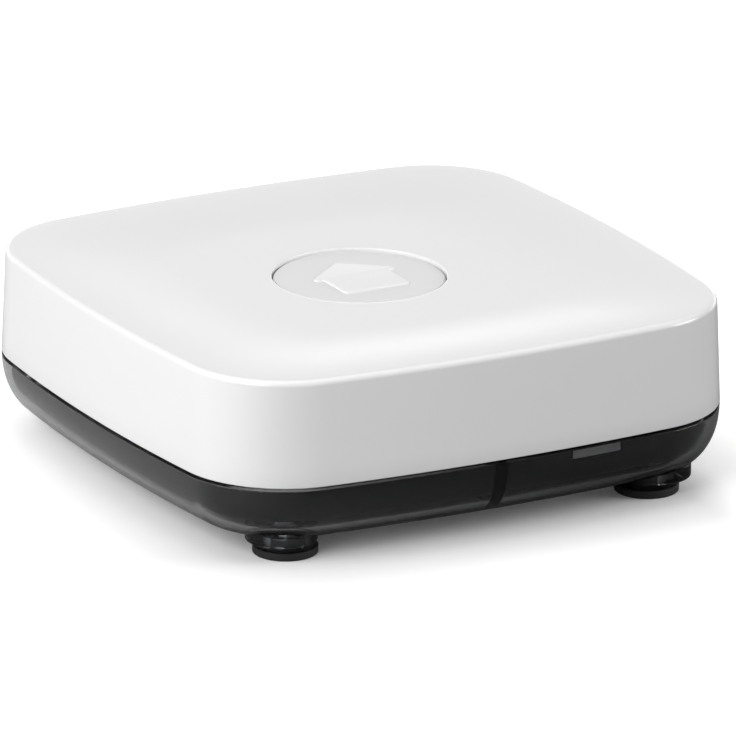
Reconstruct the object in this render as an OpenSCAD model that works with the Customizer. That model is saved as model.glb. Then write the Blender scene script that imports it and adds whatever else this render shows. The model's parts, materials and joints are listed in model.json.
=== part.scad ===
// Smart home hub: a white cover over a smoked tray, with a round button in the middle of its top.
// Millimetres. +Z is up, the feet stand on z = 0, the front is -Y and the sockets are at the back, +Y.

/* [Case] */
// Width and depth of the case across its seam
case_w = 120; // [116:1:130]
// Radius of the case's four corners, seen from above
corner_r = 21.9; // [21:0.1:23]
// How far each side bows out past a straight line between its ends
side_bow = 4.3; // [3.5:0.1:5]
// Height of the cover's rim above the surface that the hub stands on
rim_z = 38.5; // [38:0.5:42]
// Height of the seam between the tray and the cover
seam_z = 16.7; // [16.5:0.1:17]
// Open shadow line between the tray and the cover
seam_gap = 0.6; // [0.4:0.1:0.8]

/* [Cover] */
// Wall thickness of the cover
cover_wall = 2.2; // [2:0.1:2.4]
// How far the cover's wall leans in between the seam and the rim
cover_draft = 0.8; // [0.4:0.1:1]
// Radius of the cover's top edge
rim_r = 1.2; // [0.8:0.1:1.6]
// Flat width of the rim before the top begins to dip
rim_flat = 1.2; // [1:0.1:2]
// Depth of the shallow dish in the top
dish_depth = 1.1; // [0.8:0.1:1.3]

/* [Tray] */
// Height of the tray's underside above the surface
tray_z = 4.7; // [4.5:0.1:4.9]
// Wall thickness of the tray
tray_wall = 2; // [1.8:0.1:2.2]
// Height of the rounded part of the tray's side
bowl_rise = 10; // [9.5:0.1:10.5]
// How far the rounded part runs in under the tray
bowl_run = 6.9; // [6.5:0.1:7.5]
// How far the tray's side leans in over its height
tray_draft = 0.9; // [0.6:0.1:1.1]

/* [Feet] */
// Distance of each foot from the middle, across the hub
foot_x = 40.4; // [40:0.1:41]
// Distance of each foot from the middle, front to back
foot_y = 44.9; // [44.5:0.1:45.5]
// Radius of the step that each foot grows from
foot_step_r = 7.1; // [7:0.05:7.4]
// How far the step stands out past the neck, across the hub
foot_step_x = 1.4; // [1:0.1:1.6]
// How far the step stands out past the neck, front to back
foot_step_y = 0.9; // [0.5:0.1:1.2]
// Radius of the neck that the rubber pad is pushed on to
foot_neck_r = 6.05; // [5.8:0.05:6.1]
// Radius of the rubber pad
foot_pad_r = 6.45; // [6.4:0.05:6.6]

/* [Button] */
// Radius of the opening in the cover that the button stands in
button_hole_r = 17.4; // [17:0.1:17.6]
// Gap round the button
button_gap = 0.3; // [0.25:0.05:0.4]
// How far the button's face lies below the cover
button_sink = 0.55; // [0.4:0.05:0.6]
// How far the button can be pressed
button_travel = 0.8; // [0.5:0.1:0.9]

/* [Board] */
// Thickness of the main board
board_t = 1.6; // [1.4:0.1:1.6]
// Height of the main board's top face
board_z = 16.6; // [16.5:0.1:16.7]
// Width of the main board
board_w = 96; // [92:1:97]

/* [Hidden] */
$fn = 64;

// Outline of the case. Each side is an arc of side_r and each corner an arc of corner_r that it meets smoothly.
half_w = case_w / 2;
side_r = (half_w * half_w + side_bow * side_bow) / (2 * side_bow);
side_c = half_w - side_r;
corner_gap = side_r - corner_r;
corner_c = (side_c + sqrt(2 * corner_gap * corner_gap - side_c * side_c)) / 2;
join_a = atan2(corner_c, corner_c - side_c);
side_steps = 5;
corner_steps = 10;
ring_n = 4 * (2 * side_steps + corner_steps);

// Levels, from the bottom up
tray_rim_z = seam_z - seam_gap / 2;
cover_bottom_z = seam_z + seam_gap / 2;
chassis_floor_z = 9.3;
chassis_floor_t = 1.5;
chassis_rim_z = 19;
dish_z = rim_z - dish_depth;
roof_z = dish_z - cover_wall;

// Fits
chassis_gap = 0.4;
chassis_wall = 1.6;
chassis_off = tray_wall + chassis_gap;
bowl_step = 15;

// Screw columns stand over the feet
screw_r = 1.5;
screw_clear_r = 1.7;
screw_head_r = 2.8;
screw_head_t = 2;
screw_head_top_z = 4;
screw_tip_z = 26;
column_r = 4.2;
chassis_column_z = 20.3;
cover_column_z = 20.6;
insert_r = 2.2;
insert_h = 6;
foot_step_z = 3.2;
foot_neck_z = 1;
foot_pad_h = 1.6;

// Button, from its face down
button_land = 1;
cap_r = button_hole_r - button_gap;
cap_top_z = dish_z - button_sink;
cap_plate_t = 2.05;
cap_under_z = cap_top_z - cap_plate_t;
cap_flange_r = cap_r + 1.9;
cap_flange_z = cap_under_z - 1.4;
cap_skirt_t = 1.6;
mark_t = 0.35;
mark_w = 21;
mark_foot = 8;
mark_eave_y = 1.2;
mark_ridge = 9.9;
mark_round = 0.7;
stem_r = 2.5;
running_gap = 0.06;
carrier_floor_z = 29.2;
carrier_floor_t = 1.6;
carrier_r = 21.4;
carrier_wall = 1.6;
carrier_top_z = roof_z - 0.2;
guide_r = 4.4;
guide_bottom_z = 26;
guide_top_z = 30.6;
ear_r = 24;
ear_boss_r = 2.6;
ear_t = 1.6;
ear_z = 31.1;
ear_angles = [90, 210, 330];
small_screw_r = 0.9;
small_head_r = 1.8;
small_head_t = 1.3;
spring_r = 5.8;
spring_wire_r = 0.3;
spring_turns = 4;
ring_in_r = 14.6;
ring_out_r = 18.6;
ring_h = 2.4;
leg_d = 11.9;
leg_r = 1.4;
led_size = [3.2, 2.8, 1];

// Main board and what stands on it
board_front_y = -46;
board_back_y = 53;
board_corner_r = 14;
board_notch_r = 5.2;
standoffs = [[43, 20], [-43, 20], [43, -26], [-43, -26]];
standoff_r = 3;
board_screw_r = 1.25;
board_screw_head_r = 2.3;
board_screw_head_t = 1.6;
switch_size = [6.2, 6.2, 3.6];
plunger_r = 1.7;
plunger_top_z = board_z + 5.1;
plunger_root = 0.8;
chip_at = [28, -10];
processor_size = [15, 15, 1.4];
pad_size = [14, 14, 0.8];
sink_size = [26, 26, 8];
sink_base_t = 2;
fin_n = 9;
fin_t = 1;
memory_size = [10, 8, 1.1];
memory_at = [[18, -32], [32, -32]];
mesh_at = [-27, -27];
mesh_size = [18, 26, 1];
mesh_can = [14, 16, 2.4];
sub_at = [-29, 14];
sub_size = [18, 24, 1];
sub_can = [14, 14, 2.4];
can_shift = 3;
coil_r = 2.2;
coil_wire_r = 0.35;
coil_turns = 6;
coil_h = 12;
coil_at = [-29, 22];

// Sockets along the back edge
port_face_y = 56;
plate_y = 55.5;
plate_t = 1.6;
plate_w = 71;
plate_top_z = 32.6;
plate_bottom_z = board_z + 0.1;
opening_w = 67;
opening_top_z = 31.2;
opening_r = 2.5;
collar_t = 1.6;
sheet_t = 0.4;
jack_x = -2;
jack_size = [16, 16, 13.5];
jack_cavity = [11.8, 12, 7.8];
jack_cavity_z = board_z + 2;
jack_latch_w = 6.2;
jack_latch_h = 2.4;
contact_n = 8;
contact_pitch = 1.02;
contact_t = 0.45;
contact_l = 7;
contact_a = 12;
data_x = -21.5;
data_size = [13.2, 14, 5.8];
data_z = board_z + 0.8;
tongue_size = [11.2, 9.5, 1.9];
tongue_drop = 0.9;
tongue_block = 4;
power_x = 26;
power_size = [9, 14, 11];
power_hole_r = 3.1;
power_hole_z = board_z + 6.4;
power_hole_l = 9.5;
power_pin_r = 1.05;
power_pin_recess = 1;
reset_x = 13.5;
reset_z = 20.4;
reset_r = 1.45;
reset_gap = 0.05;
reset_face_y = 55.1;
reset_inner_y = 50.4;
reset_flange_r = 2.2;
reset_flange_t = 1.2;
reset_switch_size = [6, 4, 5.6];
reset_switch_back_y = 49;
reset_plunger_r = 1.2;
reset_plunger_root = 0.8;
reset_travel = 0.6;
can_cap_r = 3.2;
can_cap_h = 8;
can_caps_at = [[20, 33], [28, 33], [36, 33]];
inductor_size = [10, 10, 4.5];
inductor_at = [30, 21];
regulator_size = [5, 6, 1.5];
regulators_at = [[19.5, 21], [38.5, 10.5]];
transformer_size = [13, 10, 5];
transformer_y = 33;
crystal_size = [5, 3.2, 1.2];
crystal_at = [9, -24];

// Details of the chassis and the tray's underside
rib_w = 2.7;
rib_reach = 12;
strip_x = 22;
strip_w = 11;
strip_inset = 3.05;
strip_t = 0.3;
strip_z = 13.8;
strip_h = 2.5;
label_size = [46, 20];
label_t = 0.4;
vent_n = 9;
vent_pitch = 5;
vent_w = 2;
vent_l = 20;
vent_y = 27;

// Extra length that carries a cut clear of a face
cut = 1;

function dir(a) = [sin(a), cos(a)];
function turn(p, a) = [p.x * cos(a) + p.y * sin(a), p.y * cos(a) - p.x * sin(a)];

// One quarter of the outline, pulled in by an inset: half a side, a corner, half a side
function quarter(inset) = concat(
    [for (i = [0 : side_steps - 1]) [0, side_c] + (side_r - inset) * dir(join_a * i / side_steps)],
    [for (i = [0 : corner_steps]) [corner_c, corner_c]
        + (corner_r - inset) * dir(join_a + (90 - 2 * join_a) * i / corner_steps)],
    [for (i = [1 : side_steps - 1]) [side_c, 0]
        + (side_r - inset) * dir(90 - join_a + join_a * i / side_steps)]);
function outline(inset) = [for (k = [0 : 3]) for (p = quarter(inset)) turn(p, 90 * k)];
function ring(z, inset) = [for (p = outline(inset)) [p.x, p.y, z]];

// A ring partway from the rim's inner line to the flat round the button's opening, on the dish
function dish_ring(part) = [for (p = outline(cover_draft + rim_r + rim_flat))
    let (flat = p * (1 - part) + p * ((button_hole_r + button_land) * part / norm(p)))
    [flat.x, flat.y, rim_z - dish_depth * (1 - cos(180 * part)) / 2]];

// Rings of the tray's bowl from its lowest point up, offset inwards
function bowl_ring(off, a) =
    let (z = tray_z + bowl_rise - (bowl_rise - off) * sin(a),
         lean = tray_draft * (tray_rim_z - z) / (tray_rim_z - tray_z))
    ring(z, off + lean + (bowl_run - off) * (1 - cos(a)));

// Points of a rectangle with round corners, about the origin
function round_rect(w, h, r) = [for (k = [0 : 3]) for (i = [0 : 6])
    let (sx = (k == 0 || k == 3) ? 1 : -1, sy = k < 2 ? 1 : -1, a = 90 * k + 15 * i)
    [sx * (w / 2 - r) + r * cos(a), sy * (h / 2 - r) + r * sin(a)]];

// A closed solid through a stack of rings that all have ring_n points
module skin(rings) {
    last = len(rings) - 1;
    polyhedron(
        points = [for (r = rings) for (p = r) p],
        faces = concat(
            [[for (j = [ring_n - 1 : -1 : 0]) j]],
            [[for (j = [0 : ring_n - 1]) last * ring_n + j]],
            [for (i = [0 : last - 1]) for (j = [0 : ring_n - 1])
                let (k = (j + 1) % ring_n)
                [i * ring_n + j, i * ring_n + k, (i + 1) * ring_n + k, (i + 1) * ring_n + j]]),
        convexity = 4);
}

// A round wire wound along a coil, as one closed tube
module coil(r, wire_r, turns, h) {
    sides = 6;
    steps = 16 * turns;
    // Centre of the wire partway along, rising evenly
    function wire(i) = [r * cos(360 * turns * i / steps), r * sin(360 * turns * i / steps), h * i / steps];
    polyhedron(
        points = [for (i = [0 : steps]) for (s = [0 : sides - 1])
            let (a = 360 * turns * i / steps, b = 360 * s / sides)
            wire(i) + wire_r * [cos(b) * cos(a), cos(b) * sin(a), sin(b)]],
        faces = concat(
            [[for (s = [0 : sides - 1]) s]],
            [[for (s = [sides - 1 : -1 : 0]) steps * sides + s]],
            [for (i = [0 : steps - 1]) for (s = [0 : sides - 1])
                let (t = (s + 1) % sides)
                [i * sides + s, (i + 1) * sides + s, (i + 1) * sides + t, i * sides + t]]),
        convexity = 10);
}

module at_feet() {
    for (x = [-foot_x, foot_x], y = [-foot_y, foot_y]) translate([x, y, 0]) children();
}

module at_steps() {
    for (x = [-1, 1], y = [-1, 1])
        translate([x * (foot_x + foot_step_x), y * (foot_y + foot_step_y), 0]) children();
}

module at_legs() {
    for (x = [-leg_d, leg_d], y = [-leg_d, leg_d]) translate([x, y, 0]) children();
}

module at_ears() {
    for (a = ear_angles) rotate(a) translate([ear_r, 0, 0]) children();
}

// A block that stands on a height, centred on a place
module block(size, at, z) {
    translate([at.x - size.x / 2, at.y - size.y / 2, z]) cube(size);
}

// A block whose back face lies on a given y
module back_block(size, x, y, z) {
    translate([x - size.x / 2, y - size.y, z]) cube(size);
}

module along_y(r, y0, y1, x, z) {
    translate([x, y0, z]) rotate([-90, 0, 0]) cylinder(r = r, h = y1 - y0);
}

// ---- Case ----

module cover_outside() {
    skin(concat(
        [ring(cover_bottom_z, 0), ring(rim_z - rim_r, cover_draft)],
        [for (a = [30 : 30 : 90]) ring(rim_z - rim_r * (1 - sin(a)), cover_draft + rim_r * (1 - cos(a)))],
        [for (part = [0, 0.06, 0.14, 0.25, 0.4, 0.55, 0.7, 0.85, 1]) dish_ring(part)]));
}

module cover_inside() {
    lean = cover_wall + cover_draft;
    skin([ring(cover_bottom_z - cut, cover_wall), ring(roof_z - cover_wall, lean),
          ring(roof_z - cover_wall / 3, lean + cover_wall / 3), ring(roof_z, lean + cover_wall)]);
}

module top_cover() {
    color("white") difference() {
        cover_outside();
        difference() {
            cover_inside();
            translate([-opening_w / 2 - collar_t, plate_y + 0.1, 0])
                cube([opening_w + 2 * collar_t, half_w, opening_top_z + collar_t]);
            at_feet() translate([0, 0, cover_column_z]) cylinder(r = column_r - 0.4, h = half_w);
            at_ears() translate([0, 0, ear_z + ear_t]) cylinder(r = ear_boss_r, h = half_w);
        }
        translate([0, 0, roof_z - cut]) cylinder(r = button_hole_r, h = 3 * cover_wall);
        at_feet() translate([0, 0, cover_column_z - cut]) cylinder(r = insert_r, h = insert_h + cut + 0.4);
        at_ears() translate([0, 0, ear_z]) cylinder(r = small_screw_r, h = roof_z + 1.2 - ear_z);
        translate([0, half_w, cover_bottom_z]) rotate([90, 0, 0])
            linear_extrude(half_w - plate_y + cut)
                polygon(round_rect(opening_w, 2 * (opening_top_z - cover_bottom_z), opening_r));
    }
}

module smoked_base() {
    color("dimgray", 0.6) difference() {
        union() {
            difference() {
                union() {
                    skin(concat([for (a = [90 : -bowl_step : 0]) bowl_ring(0, a)], [ring(tray_rim_z, 0)]));
                    at_steps() translate([0, 0, foot_step_z]) cylinder(r = foot_step_r, h = tray_z + 2.2 - foot_step_z);
                    at_feet() translate([0, 0, foot_neck_z]) cylinder(r = foot_neck_r, h = tray_z - foot_neck_z);
                }
                skin(concat([for (a = [90 : -bowl_step : 0]) bowl_ring(tray_wall, a)],
                            [ring(tray_rim_z + cut, tray_wall)]));
            }
            at_feet() translate([0, 0, tray_z + 0.5]) cylinder(r = column_r, h = chassis_floor_z - tray_z - 0.5);
        }
        at_feet() translate([0, 0, foot_neck_z - cut]) cylinder(r = screw_clear_r, h = chassis_floor_z + cut);
        at_feet() translate([0, 0, foot_neck_z - cut])
            cylinder(r = screw_head_r + 0.3, h = screw_head_top_z - foot_neck_z + cut);
        block([label_size.x, label_size.y, label_t + cut], [0, 0], tray_z - cut);
        for (y = [-vent_y, vent_y], i = [0 : vent_n - 1])
            block([vent_w, vent_l, 3 * tray_wall], [(i - (vent_n - 1) / 2) * vent_pitch, y], tray_z - cut);
    }
}

module inner_chassis() {
    floor_a = asin((tray_z + bowl_rise - chassis_floor_z) / (bowl_rise - chassis_off));
    floor_inset = tray_draft + chassis_off + (bowl_run - chassis_off) * (1 - cos(floor_a));
    color([0.08, 0.08, 0.09]) difference() {
        union() {
            difference() {
                skin(concat([for (a = [floor_a, 30, 15, 0]) bowl_ring(chassis_off, a)],
                            [ring(cover_bottom_z, chassis_off + 0.1), ring(chassis_rim_z, chassis_off + 0.25)]));
                skin([ring(chassis_floor_z + chassis_floor_t, floor_inset + chassis_wall),
                      ring(board_z - 3, chassis_off + chassis_wall + 0.4),
                      ring(chassis_rim_z + cut, chassis_off + chassis_wall)]);
            }
            at_feet() translate([0, 0, chassis_floor_z + 0.5])
                cylinder(r = column_r, h = chassis_column_z - chassis_floor_z - 0.5);
            for (p = standoffs) translate([p.x, p.y, chassis_floor_z + 0.5])
                cylinder(r = standoff_r, h = board_z - board_t - chassis_floor_z - 0.5);
            intersection() {
                translate([-rib_w / 2, -half_w, tray_z]) cube([rib_w, rib_reach, tray_rim_z - tray_z]);
                skin(concat([for (a = [90 : -bowl_step : 0]) bowl_ring(tray_wall + 0.15, a)],
                            [ring(tray_rim_z, tray_wall + 0.15)]));
            }
        }
        at_feet() translate([0, 0, chassis_floor_z - cut])
            cylinder(r = screw_clear_r, h = chassis_column_z - chassis_floor_z + 2 * cut);
        for (p = standoffs) translate([p.x, p.y, chassis_floor_z + chassis_floor_t])
            cylinder(r = board_screw_r, h = board_z);
        translate([-plate_w / 2 - 0.3, board_back_y + 0.3, board_z]) cube([plate_w + 0.6, half_w, half_w]);
        intersection() {
            translate([strip_x - strip_w / 2 - 0.3, -half_w, strip_z - 0.3])
                cube([strip_w + 0.6, half_w, tray_rim_z - strip_z + 0.3]);
            difference() {
                linear_extrude(half_w) polygon(outline(0));
                linear_extrude(half_w) polygon(outline(strip_inset + strip_t));
            }
        }
    }
}

module rubber_feet() {
    color([0.06, 0.06, 0.06]) at_feet() difference() {
        union() {
            cylinder(r1 = foot_pad_r - 0.35, r2 = foot_pad_r, h = 0.4);
            translate([0, 0, 0.4]) cylinder(r = foot_pad_r, h = foot_pad_h - 0.4);
        }
        translate([0, 0, foot_neck_z]) cylinder(r = foot_neck_r, h = foot_pad_h);
    }
}

module rating_plate() {
    color("silver") block([label_size.x - 0.6, label_size.y - 0.6, label_t], [0, 0], tray_z);
}

module antenna_strip() {
    color("gray") intersection() {
        translate([strip_x - strip_w / 2, -half_w, strip_z]) cube([strip_w, half_w, strip_h]);
        difference() {
            linear_extrude(half_w) polygon(outline(strip_inset));
            linear_extrude(half_w) polygon(outline(strip_inset + strip_t));
        }
    }
}

// ---- Fasteners ----

module case_screws() {
    color("silver") at_feet() difference() {
        union() {
            translate([0, 0, screw_head_top_z - screw_head_t]) cylinder(r = screw_head_r, h = screw_head_t);
            translate([0, 0, screw_head_top_z]) cylinder(r = screw_r, h = screw_tip_z - screw_head_top_z);
        }
        translate([0, 0, screw_head_top_z - screw_head_t - cut]) cylinder(r = 1.4, h = cut + 1.1, $fn = 6);
    }
}

module cover_inserts() {
    color("goldenrod") at_feet() translate([0, 0, cover_column_z]) difference() {
        cylinder(r = insert_r, h = insert_h);
        translate([0, 0, -cut]) cylinder(r = screw_r, h = insert_h + 2 * cut);
    }
}

module carrier_screws() {
    color("silver") at_ears() {
        translate([0, 0, ear_z - small_head_t]) difference() {
            cylinder(r = small_head_r, h = small_head_t);
            translate([0, 0, -cut]) cylinder(r = 0.9, h = cut + 0.7, $fn = 6);
        }
        translate([0, 0, ear_z]) cylinder(r = small_screw_r, h = roof_z + 1 - ear_z);
    }
}

module board_screws() {
    color("silver") for (p = standoffs) translate([p.x, p.y, board_z]) difference() {
        union() {
            cylinder(r = board_screw_head_r, h = board_screw_head_t);
            translate([0, 0, -5]) cylinder(r = board_screw_r, h = 5);
        }
        translate([0, 0, 0.7]) cylinder(r = 1.1, h = board_screw_head_t, $fn = 6);
    }
}

// ---- Button ----

// A plain house shape, from its walls' foot to its ridge
module house_mark() {
    wall = mark_w * 0.35;
    eave = mark_w / 2;
    offset(r = mark_round) offset(delta = -mark_round)
        polygon([[-wall, -mark_foot], [wall, -mark_foot], [wall, mark_eave_y], [eave, mark_eave_y],
                 [0, mark_ridge], [-eave, mark_eave_y], [-wall, mark_eave_y]]);
}

module button_cap() {
    color("whitesmoke") {
        translate([0, 0, cap_under_z]) cylinder(r = cap_r, h = cap_plate_t);
        translate([0, 0, cap_top_z - 0.1]) linear_extrude(mark_t + 0.1) house_mark();
        difference() {
            union() {
                translate([0, 0, cap_flange_z]) cylinder(r = cap_flange_r, h = cap_under_z - cap_flange_z);
                translate([0, 0, cap_flange_z]) cylinder(r = cap_r, h = cap_plate_t);
            }
            translate([0, 0, cap_flange_z - cut]) cylinder(r = cap_r - cap_skirt_t, h = cap_under_z - cap_flange_z + cut);
        }
        translate([0, 0, plunger_top_z]) cylinder(r = stem_r, h = cap_under_z + cut / 2 - plunger_top_z);
    }
}

module button_spring() {
    h = cap_under_z - carrier_floor_z - 2 * spring_wire_r;
    color("silver") translate([0, 0, carrier_floor_z + spring_wire_r])
        coil(spring_r, spring_wire_r, spring_turns, h);
}

module button_carrier() {
    color("lightgray") difference() {
        union() {
            difference() {
                translate([0, 0, carrier_floor_z - carrier_floor_t])
                    cylinder(r = carrier_r, h = carrier_top_z - carrier_floor_z + carrier_floor_t);
                translate([0, 0, carrier_floor_z]) cylinder(r = carrier_r - carrier_wall, h = half_w);
            }
            translate([0, 0, guide_bottom_z]) cylinder(r = guide_r, h = guide_top_z - guide_bottom_z);
            at_ears() translate([0, 0, ear_z]) cylinder(r = ear_boss_r, h = ear_t);
            for (a = ear_angles) rotate(a)
                translate([carrier_r - carrier_wall / 2, -ear_boss_r, ear_z])
                    cube([ear_r - carrier_r + carrier_wall / 2, 2 * ear_boss_r, ear_t]);
        }
        translate([0, 0, guide_bottom_z - cut]) cylinder(r = stem_r + running_gap, h = half_w);
        at_legs() translate([0, 0, carrier_floor_z - 2 * carrier_floor_t]) cylinder(r = leg_r + 0.1, h = 3 * carrier_floor_t);
        at_ears() translate([0, 0, ear_z - cut]) cylinder(r = small_screw_r, h = ear_t + 2 * cut);
    }
}

module light_guide() {
    color("ivory", 0.7) {
        translate([0, 0, carrier_floor_z]) difference() {
            cylinder(r = ring_out_r, h = ring_h);
            translate([0, 0, -cut]) cylinder(r = ring_in_r, h = ring_h + 2 * cut);
        }
        at_legs() translate([0, 0, board_z + led_size.z + 0.3])
            cylinder(r = leg_r, h = carrier_floor_z + ring_h / 2 - board_z - led_size.z - 0.3);
    }
}

module status_leds() {
    color("lightyellow") at_legs() block(led_size, [0, 0], board_z);
}

module pairing_switch() {
    color([0.12, 0.12, 0.12]) difference() {
        block(switch_size, [0, 0], board_z);
        translate([0, 0, board_z + switch_size.z - plunger_root - button_travel - 0.1])
            cylinder(r = plunger_r + running_gap, h = switch_size.z);
    }
}

module pairing_plunger() {
    root_z = board_z + switch_size.z - plunger_root;
    color("tan") translate([0, 0, root_z]) cylinder(r = plunger_r, h = plunger_top_z - root_z);
}

// ---- Main board ----

module main_board() {
    depth = board_back_y - board_front_y;
    color("darkgreen") translate([0, 0, board_z - board_t]) difference() {
        translate([0, (board_back_y + board_front_y) / 2, 0])
            linear_extrude(board_t) polygon(round_rect(board_w, depth, board_corner_r));
        at_feet() translate([0, 0, -cut]) cylinder(r = board_notch_r, h = board_t + 2 * cut);
        for (p = standoffs) translate([p.x, p.y, -cut]) cylinder(r = board_screw_r + 0.15, h = board_t + 2 * cut);
    }
}

module processor() {
    color([0.1, 0.1, 0.11]) block(processor_size, chip_at, board_z);
}

module thermal_pad() {
    color("lightblue") block(pad_size, chip_at, board_z + processor_size.z);
}

module heat_sink() {
    low = board_z + processor_size.z + pad_size.z;
    step = (sink_size.x - fin_t) / (fin_n - 1);
    color("silver") {
        block([sink_size.x, sink_size.y, sink_base_t], chip_at, low);
        for (i = [0 : fin_n - 1])
            block([fin_t, sink_size.y, sink_size.z], [chip_at.x - (sink_size.x - fin_t) / 2 + i * step, chip_at.y], low);
    }
}

module memory_chips() {
    color([0.1, 0.1, 0.11]) for (p = memory_at) block(memory_size, p, board_z);
}

module mesh_radio_board() {
    color("darkblue") block(mesh_size, mesh_at, board_z);
}

module mesh_radio_shield() {
    color("silver") block(mesh_can, mesh_at + [0, can_shift], board_z + mesh_size.z);
}

module sub_radio_board() {
    color("darkblue") block(sub_size, sub_at, board_z);
}

module sub_radio_shield() {
    color("silver") block(sub_can, sub_at - [0, can_shift], board_z + sub_size.z);
}

module coil_antenna() {
    color("goldenrod") translate([coil_at.x, coil_at.y, board_z + sub_size.z + coil_wire_r])
        coil(coil_r, coil_wire_r, coil_turns, coil_h);
}

module capacitors() {
    color("silver") for (p = can_caps_at) translate([p.x, p.y, board_z]) {
        cylinder(r = can_cap_r, h = 1);
        translate([0, 0, 1]) cylinder(r = can_cap_r - 0.25, h = 0.6);
        translate([0, 0, 1.6]) cylinder(r = can_cap_r, h = can_cap_h - 1.6);
    }
}

module power_inductor() {
    color("dimgray") block(inductor_size, inductor_at, board_z);
}

module power_regulators() {
    color([0.1, 0.1, 0.11]) for (p = regulators_at) block(regulator_size, p, board_z);
}

module network_transformer() {
    color([0.1, 0.1, 0.11]) block(transformer_size, [jack_x, transformer_y], board_z);
}

module crystal() {
    color("silver") block(crystal_size, crystal_at, board_z);
}

// ---- Sockets ----

module port_plate() {
    color([0.08, 0.08, 0.09]) difference() {
        back_block([plate_w, plate_t, plate_top_z - plate_bottom_z], 0, plate_y, plate_bottom_z);
        back_block([jack_size.x + 0.3, 2 * cut + plate_t, jack_size.z + 0.15], jack_x, plate_y + cut, board_z);
        back_block([data_size.x + 0.3, 2 * cut + plate_t, data_size.z + 0.3], data_x, plate_y + cut, data_z - 0.15);
        back_block([power_size.x + 0.3, 2 * cut + plate_t, power_size.z + 0.15], power_x, plate_y + cut, board_z);
        along_y(reset_r + reset_gap, plate_y - plate_t - cut, plate_y + cut, reset_x, reset_z);
    }
}

module jack_hollow(grow) {
    size = [jack_cavity.x + grow, jack_cavity.y + cut, jack_cavity.z + grow];
    back_block(size, jack_x, port_face_y + cut, jack_cavity_z - grow / 2);
    back_block([jack_latch_w + grow, size.y, jack_latch_h + jack_cavity.z], jack_x, port_face_y + cut, jack_cavity_z);
}

module network_jack() {
    inner = [jack_size.x - 2 * sheet_t, jack_size.y - 2 * sheet_t, jack_size.z - sheet_t];
    color([0.12, 0.12, 0.12]) difference() {
        back_block(inner, jack_x, port_face_y - sheet_t, board_z);
        jack_hollow(0);
    }
}

module network_shield() {
    inner = [jack_size.x - 2 * sheet_t, jack_size.y - 2 * sheet_t, jack_size.z - sheet_t + cut];
    color("silver") difference() {
        back_block(jack_size, jack_x, port_face_y, board_z);
        back_block(inner, jack_x, port_face_y - sheet_t, board_z - cut);
        jack_hollow(0.4);
    }
}

module network_contacts() {
    start_y = port_face_y - jack_cavity.y + contact_t / 3;
    color("gold") for (i = [0 : contact_n - 1])
        translate([jack_x + (i - (contact_n - 1) / 2) * contact_pitch - contact_t / 2, start_y, jack_cavity_z + contact_t / 3])
            rotate([contact_a, 0, 0]) cube([contact_t, contact_l, contact_t]);
}

module data_port_shell() {
    inside = [data_size.x - 2 * sheet_t, data_size.y, data_size.z - 2 * sheet_t];
    color("silver") difference() {
        back_block(data_size, data_x, port_face_y, data_z);
        back_block(inside, data_x, port_face_y + sheet_t, data_z + sheet_t);
    }
}

module data_port_tongue() {
    back_y = port_face_y - data_size.y + sheet_t;
    low = data_z + sheet_t;
    inside = [data_size.x - 2 * sheet_t, tongue_block, data_size.z - 2 * sheet_t];
    color([0.12, 0.12, 0.12]) {
        back_block(inside, data_x, back_y + tongue_block, low);
        back_block([tongue_size.x, tongue_size.y + 1, tongue_size.z], data_x,
                   back_y + tongue_block + tongue_size.y - 1, low + inside.z - tongue_size.z - tongue_drop);
    }
}

module power_jack() {
    color([0.12, 0.12, 0.12]) difference() {
        back_block(power_size, power_x, port_face_y, board_z);
        along_y(power_hole_r, port_face_y - power_hole_l, port_face_y + cut, power_x, power_hole_z);
    }
}

module power_pin() {
    color("silver") along_y(power_pin_r, port_face_y - power_hole_l, port_face_y - power_pin_recess, power_x, power_hole_z);
}

module reset_button() {
    flange_y = plate_y - plate_t - 0.2;
    color("gray") {
        along_y(reset_r, reset_inner_y, reset_face_y, reset_x, reset_z);
        along_y(reset_flange_r, flange_y - reset_flange_t, flange_y, reset_x, reset_z);
    }
}

module reset_switch() {
    color([0.12, 0.12, 0.12]) difference() {
        back_block(reset_switch_size, reset_x, reset_switch_back_y, board_z);
        along_y(reset_plunger_r + running_gap, reset_switch_back_y - reset_plunger_root - reset_travel - 0.1,
                reset_switch_back_y + cut, reset_x, reset_z);
    }
}

module reset_plunger() {
    color("tan") along_y(reset_plunger_r, reset_switch_back_y - reset_plunger_root, reset_inner_y, reset_x, reset_z);
}

top_cover();
button_cap();
button_spring();
button_carrier();
carrier_screws();
light_guide();
smoked_base();
inner_chassis();
rubber_feet();
case_screws();
cover_inserts();
rating_plate();
antenna_strip();
port_plate();
main_board();
board_screws();
status_leds();
pairing_switch();
pairing_plunger();
processor();
thermal_pad();
heat_sink();
memory_chips();
mesh_radio_board();
mesh_radio_shield();
sub_radio_board();
sub_radio_shield();
coil_antenna();
network_jack();
network_shield();
network_contacts();
network_transformer();
data_port_shell();
data_port_tongue();
power_jack();
power_pin();
reset_button();
reset_switch();
reset_plunger();
capacitors();
power_inductor();
power_regulators();
crystal();
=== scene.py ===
"""Looks of a smart home hub: a white cover over a smoked tray, with a round button in its top.

The case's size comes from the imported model's own boxes. Lengths are in metres, +Z is up, the front is -Y.
"""
import json
import logging
import math
from dataclasses import dataclass, field
from enum import Enum
from typing import Callable, Iterable, Sequence

import bmesh
import bpy
import numpy as np
from mathutils import Matrix, Vector


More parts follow.
